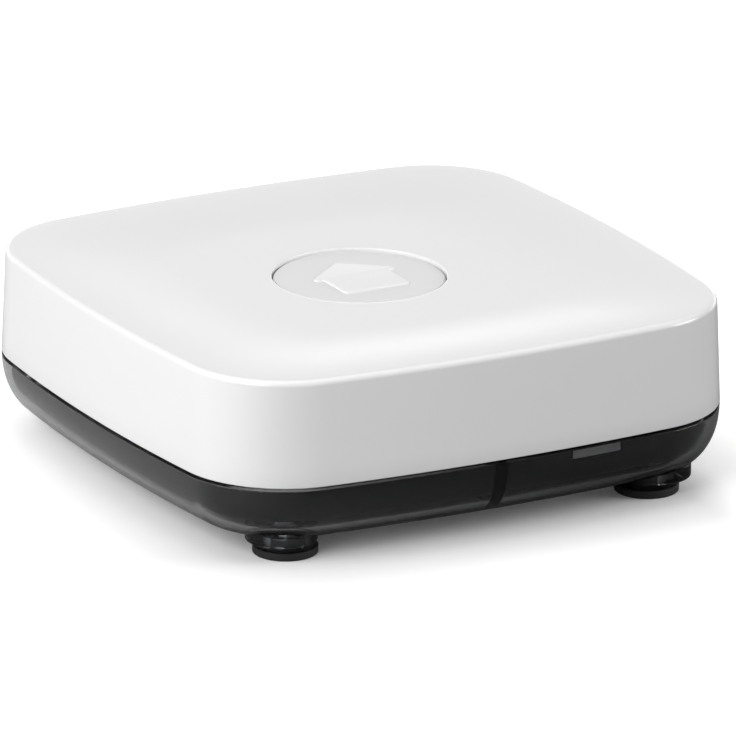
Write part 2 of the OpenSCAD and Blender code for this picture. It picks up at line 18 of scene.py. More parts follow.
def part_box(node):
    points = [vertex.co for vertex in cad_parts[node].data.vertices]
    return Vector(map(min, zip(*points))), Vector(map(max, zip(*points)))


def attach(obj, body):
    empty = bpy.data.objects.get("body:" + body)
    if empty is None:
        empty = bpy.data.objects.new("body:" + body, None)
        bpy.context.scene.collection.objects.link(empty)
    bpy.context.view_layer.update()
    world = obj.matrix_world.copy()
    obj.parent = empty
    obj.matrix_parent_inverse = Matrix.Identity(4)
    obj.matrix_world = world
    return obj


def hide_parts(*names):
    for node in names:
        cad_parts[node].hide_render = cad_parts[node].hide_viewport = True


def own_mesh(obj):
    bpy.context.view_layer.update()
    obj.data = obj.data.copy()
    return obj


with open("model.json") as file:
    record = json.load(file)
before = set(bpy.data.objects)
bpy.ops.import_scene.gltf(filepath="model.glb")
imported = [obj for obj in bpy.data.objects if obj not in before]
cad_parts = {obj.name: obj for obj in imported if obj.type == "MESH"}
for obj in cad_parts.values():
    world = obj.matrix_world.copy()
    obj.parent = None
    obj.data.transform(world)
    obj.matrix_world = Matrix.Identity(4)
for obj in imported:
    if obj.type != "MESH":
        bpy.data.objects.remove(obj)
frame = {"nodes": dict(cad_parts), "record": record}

LOG = logging.getLogger("hub")
MM = 0.001
MERGE = 1e-7
CAD_MERGE = 2e-6
FEW_SIDES = 32
SOME_SIDES = 48
POST_SIDES = 64
MANY_SIDES = 192
FLAT_ANGLE = math.radians(1.0)
EDGE_ANGLE = math.radians(40)
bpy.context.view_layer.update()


# ---------------------------------------------------------------- shapes


class Cut(Enum):
    """How one solid changes another."""

    JOIN = "UNION"
    TAKE = "DIFFERENCE"
    KEEP = "INTERSECT"


@dataclass(frozen=True)
class Loop:
    """A closed line in the XY plane, with its outward normals, both (n, 2) arrays."""

    points: np.ndarray
    normals: np.ndarray

    def inset(self, amount: float) -> np.ndarray:
        """The same line pulled in: each point less its normal times the amount."""
        return self.points - self.normals * amount

    def rings(self, insets: Sequence[float], heights: Sequence[float]) -> np.ndarray:
        """Stacks pulled-in copies of the line.

        Args:
            insets: how far each ring is pulled in.
            heights: the height of each ring.

        Returns:
            An (m, n, 3) array, ring by ring.
        """
        amounts = np.asarray(insets, float)[:, None, None]
        flat = self.points[None] - self.normals[None] * amounts
        tall = np.broadcast_to(np.asarray(heights, float)[:, None, None], flat.shape[:2] + (1,))
        return np.concatenate([flat, tall], axis=2)


def arc_loop(centres: np.ndarray, radii: np.ndarray, angles: np.ndarray) -> Loop:
    """A line made of arcs: each point is its arc's centre plus radius times (cos a, sin a), its normal."""
    normals = np.stack([np.cos(angles), np.sin(angles)], axis=1)
    return Loop(centres + normals * radii[:, None], normals)


def case_loop(half_width: float, corner: float, bow: float, steps: int = 22) -> Loop:
    """Outline of the case: four shallow side arcs that run smoothly into four corner arcs.

    Args:
        half_width: from the middle to the crown of a side.
        corner: radius of a corner arc.
        bow: how far a side's crown stands past the straight line between the ends of a full-width arc.
        steps: points on each half side, and half as many as on a corner.

    Returns:
        The line, counter-clockwise from the middle of the +X side.
    """
    side = (half_width**2 + bow**2) / (2 * bow)
    side_mid = half_width - side
    reach = side - corner
    corner_mid = (side_mid + math.sqrt(2 * reach**2 - side_mid**2)) / 2
    join = math.atan2(corner_mid, corner_mid - side_mid)
    first = np.linspace(0, join, steps, endpoint=False)
    middle = np.linspace(join, math.pi / 2 - join, 2 * steps, endpoint=False)
    last = np.linspace(math.pi / 2 - join, math.pi / 2, steps, endpoint=False)
    angles = np.concatenate([first, middle, last])
    part = np.repeat([0, 1, 2], [steps, 2 * steps, steps])
    centres = np.array([[side_mid, 0], [corner_mid, corner_mid], [0, side_mid]])[part]
    radii = np.array([side, corner, side])[part]
    turns = np.arange(4) * math.pi / 2
    cos, sin = np.cos(turns), np.sin(turns)
    spin = np.stack([np.stack([cos, -sin], 1), np.stack([sin, cos], 1)], 1)
    spun = np.einsum("kij,nj->kni", spin, centres)
    return arc_loop(spun.reshape(-1, 2), np.tile(radii, 4), (angles[None] + turns[:, None]).ravel())


def circle_loop(radius: float, centre: Sequence[float] = (0.0, 0.0), sides: int = 96) -> Loop:
    """A circle of that radius about a centre."""
    angles = np.arange(sides) * 2 * math.pi / sides
    middle = np.broadcast_to(np.asarray(centre, float), (sides, 2))
    return arc_loop(middle, np.full(sides, radius), angles)


def corner_loop(corners: Sequence[Sequence[float]], radius: float, steps: int = 8) -> Loop:
    """A polygon whose corners are arcs of one radius, tangent to both their sides.

    Args:
        corners: its corners, counter-clockwise; a corner that turns the other way gets its arc outside.
        radius: the radius of every arc.
        steps: points on each arc.

    Returns:
        The line, with normals that turn evenly along each arc.
    """
    here = np.asarray(corners, float)
    back, ahead = np.roll(here, 1, 0) - here, np.roll(here, -1, 0) - here
    back /= np.linalg.norm(back, axis=1, keepdims=True)
    ahead /= np.linalg.norm(ahead, axis=1, keepdims=True)
    turn = np.sign(ahead[:, 0] * back[:, 1] - ahead[:, 1] * back[:, 0])
    half = np.arccos(np.clip((back * ahead).sum(1), -1, 1)) / 2
    inward = (back + ahead) / np.linalg.norm(back + ahead, axis=1, keepdims=True)
    middle = here + inward * (radius / np.sin(half))[:, None]
    start = np.stack([-back[:, 1], back[:, 0]], 1)
    begin = np.arctan2(start[:, 1], start[:, 0])
    sweep = (math.pi - 2 * half) * turn
    angles = begin[:, None] + sweep[:, None] * np.linspace(0, 1, steps)[None]
    normals = np.stack([np.cos(angles), np.sin(angles)], 2)
    points = middle[:, None] + normals * (radius * turn)[:, None, None]
    return Loop(points.reshape(-1, 2), normals.reshape(-1, 2))


def box_loop(width: float, depth: float, radius: float, centre: Sequence[float] = (0.0, 0.0),
             steps: int = 6) -> Loop:
    """A rectangle with round corners about a centre."""
    x, y = width / 2, depth / 2
    loop = corner_loop([(x, -y), (x, y), (-x, y), (-x, -y)], radius, steps)
    return Loop(loop.points + np.asarray(centre, float), loop.normals)


def quarter(start: Sequence[float], end: Sequence[float], bulge_first: int, steps: int = 6) -> np.ndarray:
    """Points on a quarter of an ellipse from start to end, both (inset, height).

    Args:
        start: where it begins.
        end: where it ends.
        bulge_first: 0 if it leaves start along the inset, 1 if along the height.
        steps: points, start left out and end included.

    Returns:
        A (steps, 2) array.
    """
    a = np.linspace(0, math.pi / 2, steps + 1)[1:]
    share = np.stack([np.sin(a), 1 - np.cos(a)], 1)
    if bulge_first:
        share = share[:, ::-1]
    return np.asarray(start, float) + (np.asarray(end, float) - np.asarray(start, float)) * share


def new_object(name: str, points: np.ndarray, faces: list[tuple[int, ...]]) -> bpy.types.Object:
    """A mesh object whose faces are turned to look outwards, by the sign of the volume that they close."""
    mesh = bpy.data.meshes.new(name)
    mesh.from_pydata(points.tolist(), [], faces)
    mesh.validate()
    solid = bmesh.new()
    solid.from_mesh(mesh)
    bmesh.ops.remove_doubles(solid, verts=solid.verts, dist=MERGE)
    if solid.calc_volume(signed=True) < 0:
        bmesh.ops.reverse_faces(solid, faces=solid.faces)
    solid.to_mesh(mesh)
    solid.free()
    piece = bpy.data.objects.new(name, mesh)
    bpy.context.scene.collection.objects.link(piece)
    return piece


def ring_faces(rows: int, columns: int, closed: bool = True) -> list[tuple[int, ...]]:
    """Quads between neighbouring rings of a grid, and across each ring's ends where it is closed."""
    row = np.arange(rows - 1)[:, None]
    column = np.arange(columns if closed else columns - 1)[None]
    above, beside = row + 1, (column + 1) % columns
    quads = np.stack([row * columns + column, row * columns + beside,
                      above * columns + beside, above * columns + column], axis=-1)
    return [tuple(q) for q in quads.reshape(-1, 4).tolist()]


def stacked(name: str, rings: np.ndarray) -> bpy.types.Object:
    """A closed solid through a stack of rings, an (m, n, 3) array, with flat ends."""
    rows, columns = rings.shape[:2]
    faces = ring_faces(rows, columns)
    faces += [tuple(range(columns))[::-1], tuple(range((rows - 1) * columns, rows * columns))]
    return new_object(name, rings.reshape(-1, 3), faces)


def turned(name: str, profile: Sequence[Sequence[float]], centre: Sequence[float] = (0.0, 0.0),
           sides: int = 96) -> bpy.types.Object:
    """A solid turned about an upright axis: each profile row is (radius, height), with flat ends."""
    rows = np.asarray(profile, float)
    loop = circle_loop(0.0, centre, sides)
    return stacked(name, loop.rings(-rows[:, 0], rows[:, 1]))


def tube(name: str, path: np.ndarray, radius: float, sides: int = 10) -> bpy.types.Object:
    """A round wire along a path: each ring stands square to the path, with its first spoke held level.

    Args:
        path: (m, 3) points of its middle.
        radius: of the wire.
        sides: round the wire.

    Returns:
        The closed wire.
    """
    along = np.gradient(path, axis=0)
    along /= np.linalg.norm(along, axis=1, keepdims=True)
    level = np.cross(along, [0.0, 0.0, 1.0])
    level /= np.linalg.norm(level, axis=1, keepdims=True)
    other = np.cross(along, level)
    a = np.arange(sides) * 2 * math.pi / sides
    spokes = level[:, None] * np.cos(a)[None, :, None] + other[:, None] * np.sin(a)[None, :, None]
    return stacked(name, path[:, None] + radius * spokes)


def combine(piece: bpy.types.Object, tools: Iterable[bpy.types.Object], how: Cut) -> bpy.types.Object:
    """Changes a solid by others, which are used up.

    Args:
        piece: the solid that stays.
        tools: the solids that join, cut or bound it.
        how: which of these.

    Returns:
        The same piece, with its new mesh.
    """
    for tool in tools:
        modifier = piece.modifiers.new("cut", "BOOLEAN")
        modifier.operation = how.value
        modifier.solver = "EXACT"
        modifier.object = tool
        shape = bpy.data.meshes.new_from_object(piece.evaluated_get(bpy.context.evaluated_depsgraph_get()))
        piece.modifiers.clear()
        old, piece.data = piece.data, shape
        for used in (old, tool.data):
            bpy.data.meshes.remove(used)
    return piece


def soften(piece: bpy.types.Object, sharp_angle: float = 32.0) -> bpy.types.Object:
    """Shades a piece smooth, but keeps edges sharper than an angle in degrees."""
    mesh = piece.data
    mesh.polygons.foreach_set("use_smooth", np.ones(len(mesh.polygons), bool))
    mesh.set_sharp_from_angle(angle=math.radians(sharp_angle))
    return piece


def refined(node: str, bevel: float) -> bpy.types.Object:
    """A copy of a CAD node with its triangles merged, flat faces made whole and its edges rounded.

    Args:
        node: the node's name.
        bevel: the width of the rounding; 0 leaves the edges sharp.

    Returns:
        The copy.
    """
    source = frame["nodes"][node]
    mesh = bpy.data.meshes.new(node + "_body")
    solid = bmesh.new()
    solid.from_mesh(source.data)
    bmesh.ops.remove_doubles(solid, verts=solid.verts, dist=CAD_MERGE)
    bmesh.ops.dissolve_limit(solid, angle_limit=FLAT_ANGLE, verts=solid.verts, edges=solid.edges)
    solid.to_mesh(mesh)
    solid.free()
    piece = bpy.data.objects.new(node + "_body", mesh)
    bpy.context.scene.collection.objects.link(piece)
    if bevel:
        rounding = piece.modifiers.new("rounding", "BEVEL")
        rounding.width = bevel
        rounding.segments = 2
        rounding.limit_method = "ANGLE"
        rounding.angle_limit = EDGE_ANGLE
        rounding.use_clamp_overlap = True
    return soften(piece)


# ---------------------------------------------------------------- finishes


class Pen:
    """Writes nodes into a tree, from left to right."""

    def __init__(self, tree: bpy.types.NodeTree) -> None:
        """Takes the tree to write in."""
        self.tree = tree

    def add(self, kind: str, inputs: dict[str, object] | None = None, **settings: object) -> bpy.types.Node:
        """Adds a node.

        Args:
            kind: the node's type.
            inputs: values, or sockets to link, by the input's name or index.
            settings: the node's own properties.

        Returns:
            The node.
        """
        node = self.tree.nodes.new(kind)
        for key, value in settings.items():
            setattr(node, key, value)
        for key, value in (inputs or {}).items():
            if isinstance(value, bpy.types.NodeSocket):
                self.tree.links.new(value, node.inputs[key])
            else:
                node.inputs[key].default_value = value
        return node

    def math(self, how: str, a: object, b: object) -> bpy.types.NodeSocket:
        """The result of one sum on two values or sockets."""
        return self.add("ShaderNodeMath", {0: a, 1: b}, operation=how).outputs[0]


def effect_group(name: str, inputs: dict[str, tuple[str, float]], outputs: dict[str, str],
                 write: Callable[[Pen, dict[str, bpy.types.NodeSocket]], dict[str, bpy.types.NodeSocket]],
                 ) -> bpy.types.NodeTree:
    """Builds a shader node group once.

    Args:
        name: of the group.
        inputs: each input's kind and first value.
        outputs: each output's kind.
        write: makes the nodes and returns the sockets to put out.

    Returns:
        The group.
    """
    if name in bpy.data.node_groups:
        return bpy.data.node_groups[name]
    tree = bpy.data.node_groups.new(name, "ShaderNodeTree")
    kinds = {"value": "NodeSocketFloat", "colour": "NodeSocketColor", "place": "NodeSocketVector"}
    for key, (kind, first) in inputs.items():
        made = tree.interface.new_socket(key, in_out="INPUT", socket_type=kinds[kind])
        if kind == "value":
            made.default_value = first
    for key, kind in outputs.items():
        tree.interface.new_socket(key, in_out="OUTPUT", socket_type=kinds[kind])
    pen = Pen(tree)
    entry = pen.add("NodeGroupInput")
    found = write(pen, {key: entry.outputs[key] for key in inputs})
    pen.add("NodeGroupOutput", dict(found))
    return tree


def drift_group() -> bpy.types.NodeTree:
    """Slow drift of tone and gloss over a moulded surface: cloudy noise, centred on nought.

    Returns:
        A group from a place, a colour and a roughness to the same two, drifted.
    """

    def write(pen: Pen, given: dict[str, bpy.types.NodeSocket]) -> dict[str, bpy.types.NodeSocket]:
        """Noise less a half, times the tone and the gloss."""
        cloud = pen.add("ShaderNodeTexNoise", {
            "Vector": given["Place"], "Scale": given["Scale"], "Detail": 4.0})
        shift = pen.math("SUBTRACT", cloud.outputs["Fac"], 0.5)
        tone = pen.math("ADD", pen.math("MULTIPLY", shift, given["Tone"]), 1.0)
        colour = pen.add("ShaderNodeVectorMath", {0: given["Colour"], "Scale": tone}, operation="SCALE")
        rough = pen.math("ADD", pen.math("MULTIPLY", shift, given["Gloss"]), given["Roughness"])
        return {"Colour": colour.outputs[0], "Roughness": rough}

    return effect_group(
        "surface_drift",
        {"Place": ("place", 0.0), "Colour": ("colour", 0.0), "Roughness": ("value", 0.4),
         "Scale": ("value", 60.0), "Tone": ("value", 0.04), "Gloss": ("value", 0.1)},
        {"Colour": "colour", "Roughness": "value"}, write)


def grain_group() -> bpy.types.NodeTree:
    """Fine moulded texture: a small-scale noise with soft pits of cells on top.

    Returns:
        A group from a place and a scale to a height.
    """

    def write(pen: Pen, given: dict[str, bpy.types.NodeSocket]) -> dict[str, bpy.types.NodeSocket]:
        """Noise plus the pits' share of the cells."""
        fine = pen.add("ShaderNodeTexNoise", {
            "Vector": given["Place"], "Scale": given["Scale"], "Detail": 3.0})
        cells = pen.add("ShaderNodeTexVoronoi", {"Vector": given["Place"], "Scale": given["Scale"]},
                        feature="SMOOTH_F1")
        pits = pen.math("MULTIPLY", cells.outputs["Distance"], given["Pits"])
        return {"Height": pen.math("ADD", fine.outputs["Fac"], pits)}

    return effect_group("moulded_grain",
                        {"Place": ("place", 0.0), "Scale": ("value", 2500.0), "Pits": ("value", 0.5)},
                        {"Height": "value"}, write)


def brush_group() -> bpy.types.NodeTree:
    """Fine lines left by drawing or brushing: noise stretched along one direction.

    Returns:
        A group from a place and the stretch of each axis to a height and a roughness.
    """

    def write(pen: Pen, given: dict[str, bpy.types.NodeSocket]) -> dict[str, bpy.types.NodeSocket]:
        """Noise on a place stretched along one axis."""
        spot = pen.add("ShaderNodeVectorMath", {0: given["Place"], 1: given["Stretch"]},
                       operation="MULTIPLY")
        lines = pen.add("ShaderNodeTexNoise", {"Vector": spot.outputs[0], "Scale": 1.0, "Detail": 4.0})
        gloss = pen.math("MULTIPLY", lines.outputs["Fac"], given["Gloss"])
        rough = pen.math("ADD", gloss, given["Roughness"])
        return {"Height": lines.outputs["Fac"], "Roughness": rough}

    return effect_group("brushed_lines",
                        {"Place": ("place", 0.0), "Stretch": ("place", 0.0), "Roughness": ("value", 0.25),
                         "Gloss": ("value", 0.2)},
                        {"Height": "value", "Roughness": "value"}, write)


@dataclass(frozen=True)
class Finish:
    """What every finish has: a colour and a roughness, with their drift and their grain."""

    name: str
    colour: tuple[float, float, float]
    roughness: float = 0.4
    drift_scale: float = 60.0
    tone: float = 0.04
    gloss: float = 0.08
    grain_scale: float = 2500.0
    grain_pits: float = 0.5
    grain_depth: float = 0.00001
    constants: tuple[tuple[str, float], ...] = ()

    def begin(self) -> tuple[bpy.types.Material, Pen, bpy.types.Node, bpy.types.NodeSocket]:
        """A new material with its shader, a pen and the place on the object."""
        material = bpy.data.materials.new(self.name)
        material.use_nodes = True
        pen = Pen(material.node_tree)
        shader = material.node_tree.nodes["Principled BSDF"]
        for key, value in self.constants:
            shader.inputs[key].default_value = value
        place = pen.add("ShaderNodeTexCoord").outputs["Object"]
        return material, pen, shader, place

    def drift(self, pen: Pen, shader: bpy.types.Node, place: bpy.types.NodeSocket,
              colour: bpy.types.NodeSocket | None = None) -> None:
        """Feeds the shader's colour and roughness through the drift group."""
        given: dict[str, object] = {
            "Place": place, "Colour": colour or (*self.colour, 1.0), "Roughness": self.roughness,
            "Scale": self.drift_scale, "Tone": self.tone, "Gloss": self.gloss}
        node = pen.add("ShaderNodeGroup", None, node_tree=drift_group())
        for key, value in given.items():
            if isinstance(value, bpy.types.NodeSocket):
                pen.tree.links.new(value, node.inputs[key])
            else:
                node.inputs[key].default_value = value
        pen.tree.links.new(node.outputs["Colour"], shader.inputs["Base Color"])
        pen.tree.links.new(node.outputs["Roughness"], shader.inputs["Roughness"])

    def grain(self, pen: Pen, shader: bpy.types.Node, place: bpy.types.NodeSocket) -> None:
        """Feeds the shader's normal through the grain group and one bump."""
        node = pen.add("ShaderNodeGroup", None, node_tree=grain_group())
        pen.tree.links.new(place, node.inputs["Place"])
        node.inputs["Scale"].default_value = self.grain_scale
        node.inputs["Pits"].default_value = self.grain_pits
        self.bump(pen, shader, node.outputs["Height"])

    def bump(self, pen: Pen, shader: bpy.types.Node, height: bpy.types.NodeSocket) -> None:
        """One bump from a height, as deep as the grain."""
        bump = pen.add("ShaderNodeBump", {"Height": height, "Distance": self.grain_depth, "Strength": 1.0})
        pen.tree.links.new(bump.outputs["Normal"], shader.inputs["Normal"])

    def build(self) -> bpy.types.Material:
        """The finished material."""
        material, pen, shader, place = self.begin()
        self.drift(pen, shader, place)
        self.grain(pen, shader, place)
        return material


@dataclass(frozen=True)
class Smoke(Finish):
    """Tinted clear plastic, deeper in tone where it is solid, in the feet below its floor."""

    deep: tuple[float, float, float] = (0.2, 0.205, 0.21)
    floor_z: float = 4.7 * MM

    def build(self) -> bpy.types.Material:
        """The tinted plastic, with its tone set by the height."""
        material, pen, shader, place = self.begin()
        height = pen.add("ShaderNodeSeparateXYZ", {0: place}).outputs["Z"]
        share = pen.add("ShaderNodeMapRange", {"Value": height, "From Min": self.floor_z - MM,
                                               "From Max": self.floor_z})
        tint = pen.add("ShaderNodeMix", {0: share.outputs[0], 6: (*self.deep, 1.0), 7: (*self.colour, 1.0)},
                       data_type="RGBA")
        self.drift(pen, shader, place, tint.outputs[2])
        self.grain(pen, shader, place)
        return material


@dataclass(frozen=True)
class Metal(Finish):
    """A metal with drawn or brushed lines along one direction."""

    stretch: tuple[float, float, float] = (300.0, 6000.0, 6000.0)

    def build(self) -> bpy.types.Material:
        """The finished material."""
        material, pen, shader, place = self.begin()
        shader.inputs["Metallic"].default_value = 1.0
        lines = pen.add("ShaderNodeGroup", None, node_tree=brush_group())
        pen.tree.links.new(place, lines.inputs["Place"])
        lines.inputs["Stretch"].default_value = self.stretch
        lines.inputs["Roughness"].default_value = self.roughness
        lines.inputs["Gloss"].default_value = self.gloss
        self.drift(pen, shader, place)
        pen.tree.links.new(lines.outputs["Roughness"], shader.inputs["Roughness"])
        self.bump(pen, shader, lines.outputs["Height"])
        return material


@dataclass(frozen=True)
class Board(Finish):
    """Solder mask over copper tracks: a grid of cells, some of them raised and lighter."""

    track: float = 900.0
    raised: float = 1.5
    between: float = 0.6
    gap: float = 0.06
    length: float = 4.0
    row: float = 0.7

    def shade(self, share: float) -> tuple[float, ...]:
        """The board's colour times a share, as an opaque colour."""
        return (*(share * part for part in self.colour), 1.0)

    def build(self) -> bpy.types.Material:
        """The finished material."""
        material, pen, shader, place = self.begin()
        tracks = pen.add("ShaderNodeTexBrick", {
            "Vector": place, "Color1": self.shade(1.0), "Color2": self.shade(self.raised),
            "Mortar": self.shade(self.between), "Scale": self.track, "Mortar Size": self.gap,
            "Brick Width": self.length, "Row Height": self.row})
        self.drift(pen, shader, place, tracks.outputs["Color"])
        self.bump(pen, shader, tracks.outputs["Fac"])
        return material


class Paint(Enum):
    """The finishes of the hub, each with its values."""

    COVER = Finish("white_gloss", (0.80, 0.80, 0.80), 0.16, 45.0, 0.012, 0.05, 700.0, 0.15, 0.0000012,
                   (("IOR", 1.5), ("Coat Weight", 0.0)))
    BUTTON = Finish("white_satin", (0.70, 0.70, 0.70), 0.42, 90.0, 0.015, 0.08, 5200.0, 0.6, 0.000003,
                    (("IOR", 1.5),))
    MARK = Finish("white_mark", (0.78, 0.78, 0.78), 0.35, 90.0, 0.015, 0.08, 5200.0, 0.5, 0.000002,
                  (("IOR", 1.5),))
    SMOKE = Smoke("smoke", (0.58, 0.585, 0.59), 0.03, 70.0, 0.06, 0.04, 900.0, 0.1, 0.0000008,
                   (("IOR", 1.42), ("Transmission Weight", 1.0)))
    BLACK = Finish("black_grain", (0.028, 0.028, 0.03), 0.5, 80.0, 0.12, 0.12, 3600.0, 0.8, 0.000012,
                   (("Specular IOR Level", 0.35),))
    RIB = Finish("black_rib", (0.004, 0.004, 0.004), 0.7, 80.0, 0.12, 0.12, 3600.0, 0.8, 0.000012,
                 (("Specular IOR Level", 0.1),))
    SOCKET = Finish("socket_black", (0.025, 0.025, 0.027), 0.5, 120.0, 0.1, 0.1, 4200.0, 0.6, 0.000008)
    GREY = Finish("carrier_grey", (0.55, 0.55, 0.54), 0.45, 90.0, 0.04, 0.08, 3800.0, 0.5, 0.000006)
    PIN = Finish("pin_grey", (0.20, 0.20, 0.205), 0.45, 150.0, 0.06, 0.08, 3800.0, 0.5, 0.000006)
    CLEAR = Finish("clear_guide", (0.94, 0.95, 0.97), 0.12, 90.0, 0.02, 0.08, 1800.0, 0.3, 0.000002,
                   (("IOR", 1.49), ("Transmission Weight", 1.0)))
    RUBBER = Finish("foot_rubber", (0.012, 0.012, 0.012), 0.72, 110.0, 0.2, 0.16, 3000.0, 1.0, 0.00003)
    ZINC = Metal("zinc_steel", (0.60, 0.61, 0.63), 0.22, 90.0, 0.06, 0.18, grain_depth=0.000004)
    TIN = Metal("tin_can", (0.66, 0.66, 0.65), 0.26, 70.0, 0.05, 0.2, grain_depth=0.000004)
    WIRE = Metal("spring_steel", (0.50, 0.50, 0.51), 0.25, 90.0, 0.06, 0.15, grain_depth=0.000003,
                 stretch=(900.0, 900.0, 9000.0))
    BRASS = Metal("turned_brass", (0.74, 0.53, 0.22), 0.24, 90.0, 0.08, 0.15, grain_depth=0.000004,
                  stretch=(600.0, 600.0, 9000.0))
    GOLD = Metal("gold_plate", (0.85, 0.62, 0.25), 0.2, 90.0, 0.05, 0.12, grain_depth=0.000002)
    FOIL = Metal("label_foil", (0.62, 0.63, 0.64), 0.3, 60.0, 0.04, 0.2, grain_depth=0.000003,
                 stretch=(120.0, 7000.0, 7000.0))
    FINS = Metal("cast_fins", (0.55, 0.56, 0.57), 0.42, 80.0, 0.06, 0.15, grain_depth=0.000008,
                 stretch=(5000.0, 400.0, 5000.0))
    CAN = Metal("capacitor_can", (0.70, 0.71, 0.73), 0.24, 80.0, 0.04, 0.15, grain_depth=0.000003,
                stretch=(900.0, 900.0, 9000.0))
    STRIP = Finish("flex_grey", (0.7, 0.7, 0.71), 0.4, 200.0, 0.1, 0.1, 2600.0, 0.5, 0.000006)
    GREEN = Board("board_green", (0.012, 0.085, 0.035), 0.3, 90.0, 0.1, 0.1, grain_depth=0.00002)
    BLUE = Board("board_blue", (0.012, 0.03, 0.11), 0.3, 90.0, 0.1, 0.1, grain_depth=0.00002)
    CHIP = Finish("chip_black", (0.022, 0.022, 0.024), 0.55, 260.0, 0.15, 0.12, 6000.0, 0.7, 0.00001)
    PAD = Finish("gap_pad", (0.30, 0.42, 0.55), 0.7, 260.0, 0.12, 0.1, 3500.0, 0.8, 0.00002)
    LED = Finish("led_lens", (0.92, 0.88, 0.66), 0.2, 400.0, 0.06, 0.1, 2500.0, 0.4, 0.000004)
    TAN = Finish("tan_plastic", (0.52, 0.38, 0.20), 0.45, 300.0, 0.08, 0.1, 4200.0, 0.5, 0.000006)
    FERRITE = Finish("ferrite", (0.06, 0.06, 0.065), 0.5, 300.0, 0.15, 0.12, 5200.0, 0.9, 0.00002)


class Palette:
    """Builds each finish the first time that a piece asks for it."""

    def __init__(self) -> None:
        """Starts with no materials."""
        self.made: dict[Paint, bpy.types.Material] = {}

    def of(self, paint: Paint) -> bpy.types.Material:
        """The material of a finish."""
        if paint not in self.made:
            self.made[paint] = paint.value.build()
        return self.made[paint]


PALETTE = Palette()


def place_piece(piece: bpy.types.Object, paint: Paint, body: str = "case",
                nodes: Sequence[str] = ()) -> bpy.types.Object:
    """Gives a piece its finish, its body and the CAD nodes that it stands for.

    Args:
        piece: the finished object.
        paint: its finish.
        body: the CAD body that it moves with.
        nodes: the CAD nodes that it replaces.

    Returns:
        The piece.
    """
    piece.data.materials.clear()
    piece.data.materials.append(PALETTE.of(paint))
    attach(piece, body)
    if nodes:
        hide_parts(*nodes)
    LOG.info("%s: %d faces, on %s", piece.name, len(piece.data.polygons), body)
    return piece


def node_box(node: str) -> tuple[Vector, Vector]:
    """The lowest and highest corners of a CAD node at rest."""
    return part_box(node)


# ---------------------------------------------------------------- the case


@dataclass
class Case:
    """Sizes that the cover, the tray and the chassis share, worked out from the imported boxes."""

    corner: float = 21.9 * MM
    bow: float = 4.3 * MM
    pad: float = 6.45 * MM
    step_x: float = 1.4 * MM
    step_y: float = 0.9 * MM
    half: float = field(init=False)
    foot_x: float = field(init=False)
    foot_y: float = field(init=False)
    rim_z: float = field(init=False)
    cover_z: float = field(init=False)
    tray_rim_z: float = field(init=False)
    loop: Loop = field(init=False)

    def __post_init__(self) -> None:
        """Reads the case's width and levels from the cover's and the tray's boxes."""
        low, high = node_box("smoked_base")
        self.half = (high.x - low.x) / 2
        self.tray_rim_z = high.z
        self.cover_z = node_box("top_cover")[0].z
        self.rim_z = node_box("top_cover")[1].z
        self.loop = case_loop(self.half, self.corner, self.bow)
        corner = node_box("rubber_feet")[1]
        self.foot_x, self.foot_y = corner.x - self.pad, corner.y - self.pad

    def feet(self, out_x: float = 0.0, out_y: float = 0.0) -> list[tuple[float, float]]:
        """Where the four feet stand, or points that much further out."""
        x, y = self.foot_x + out_x, self.foot_y + out_y
        return [(-x, -y), (-x, y), (x, -y), (x, y)]


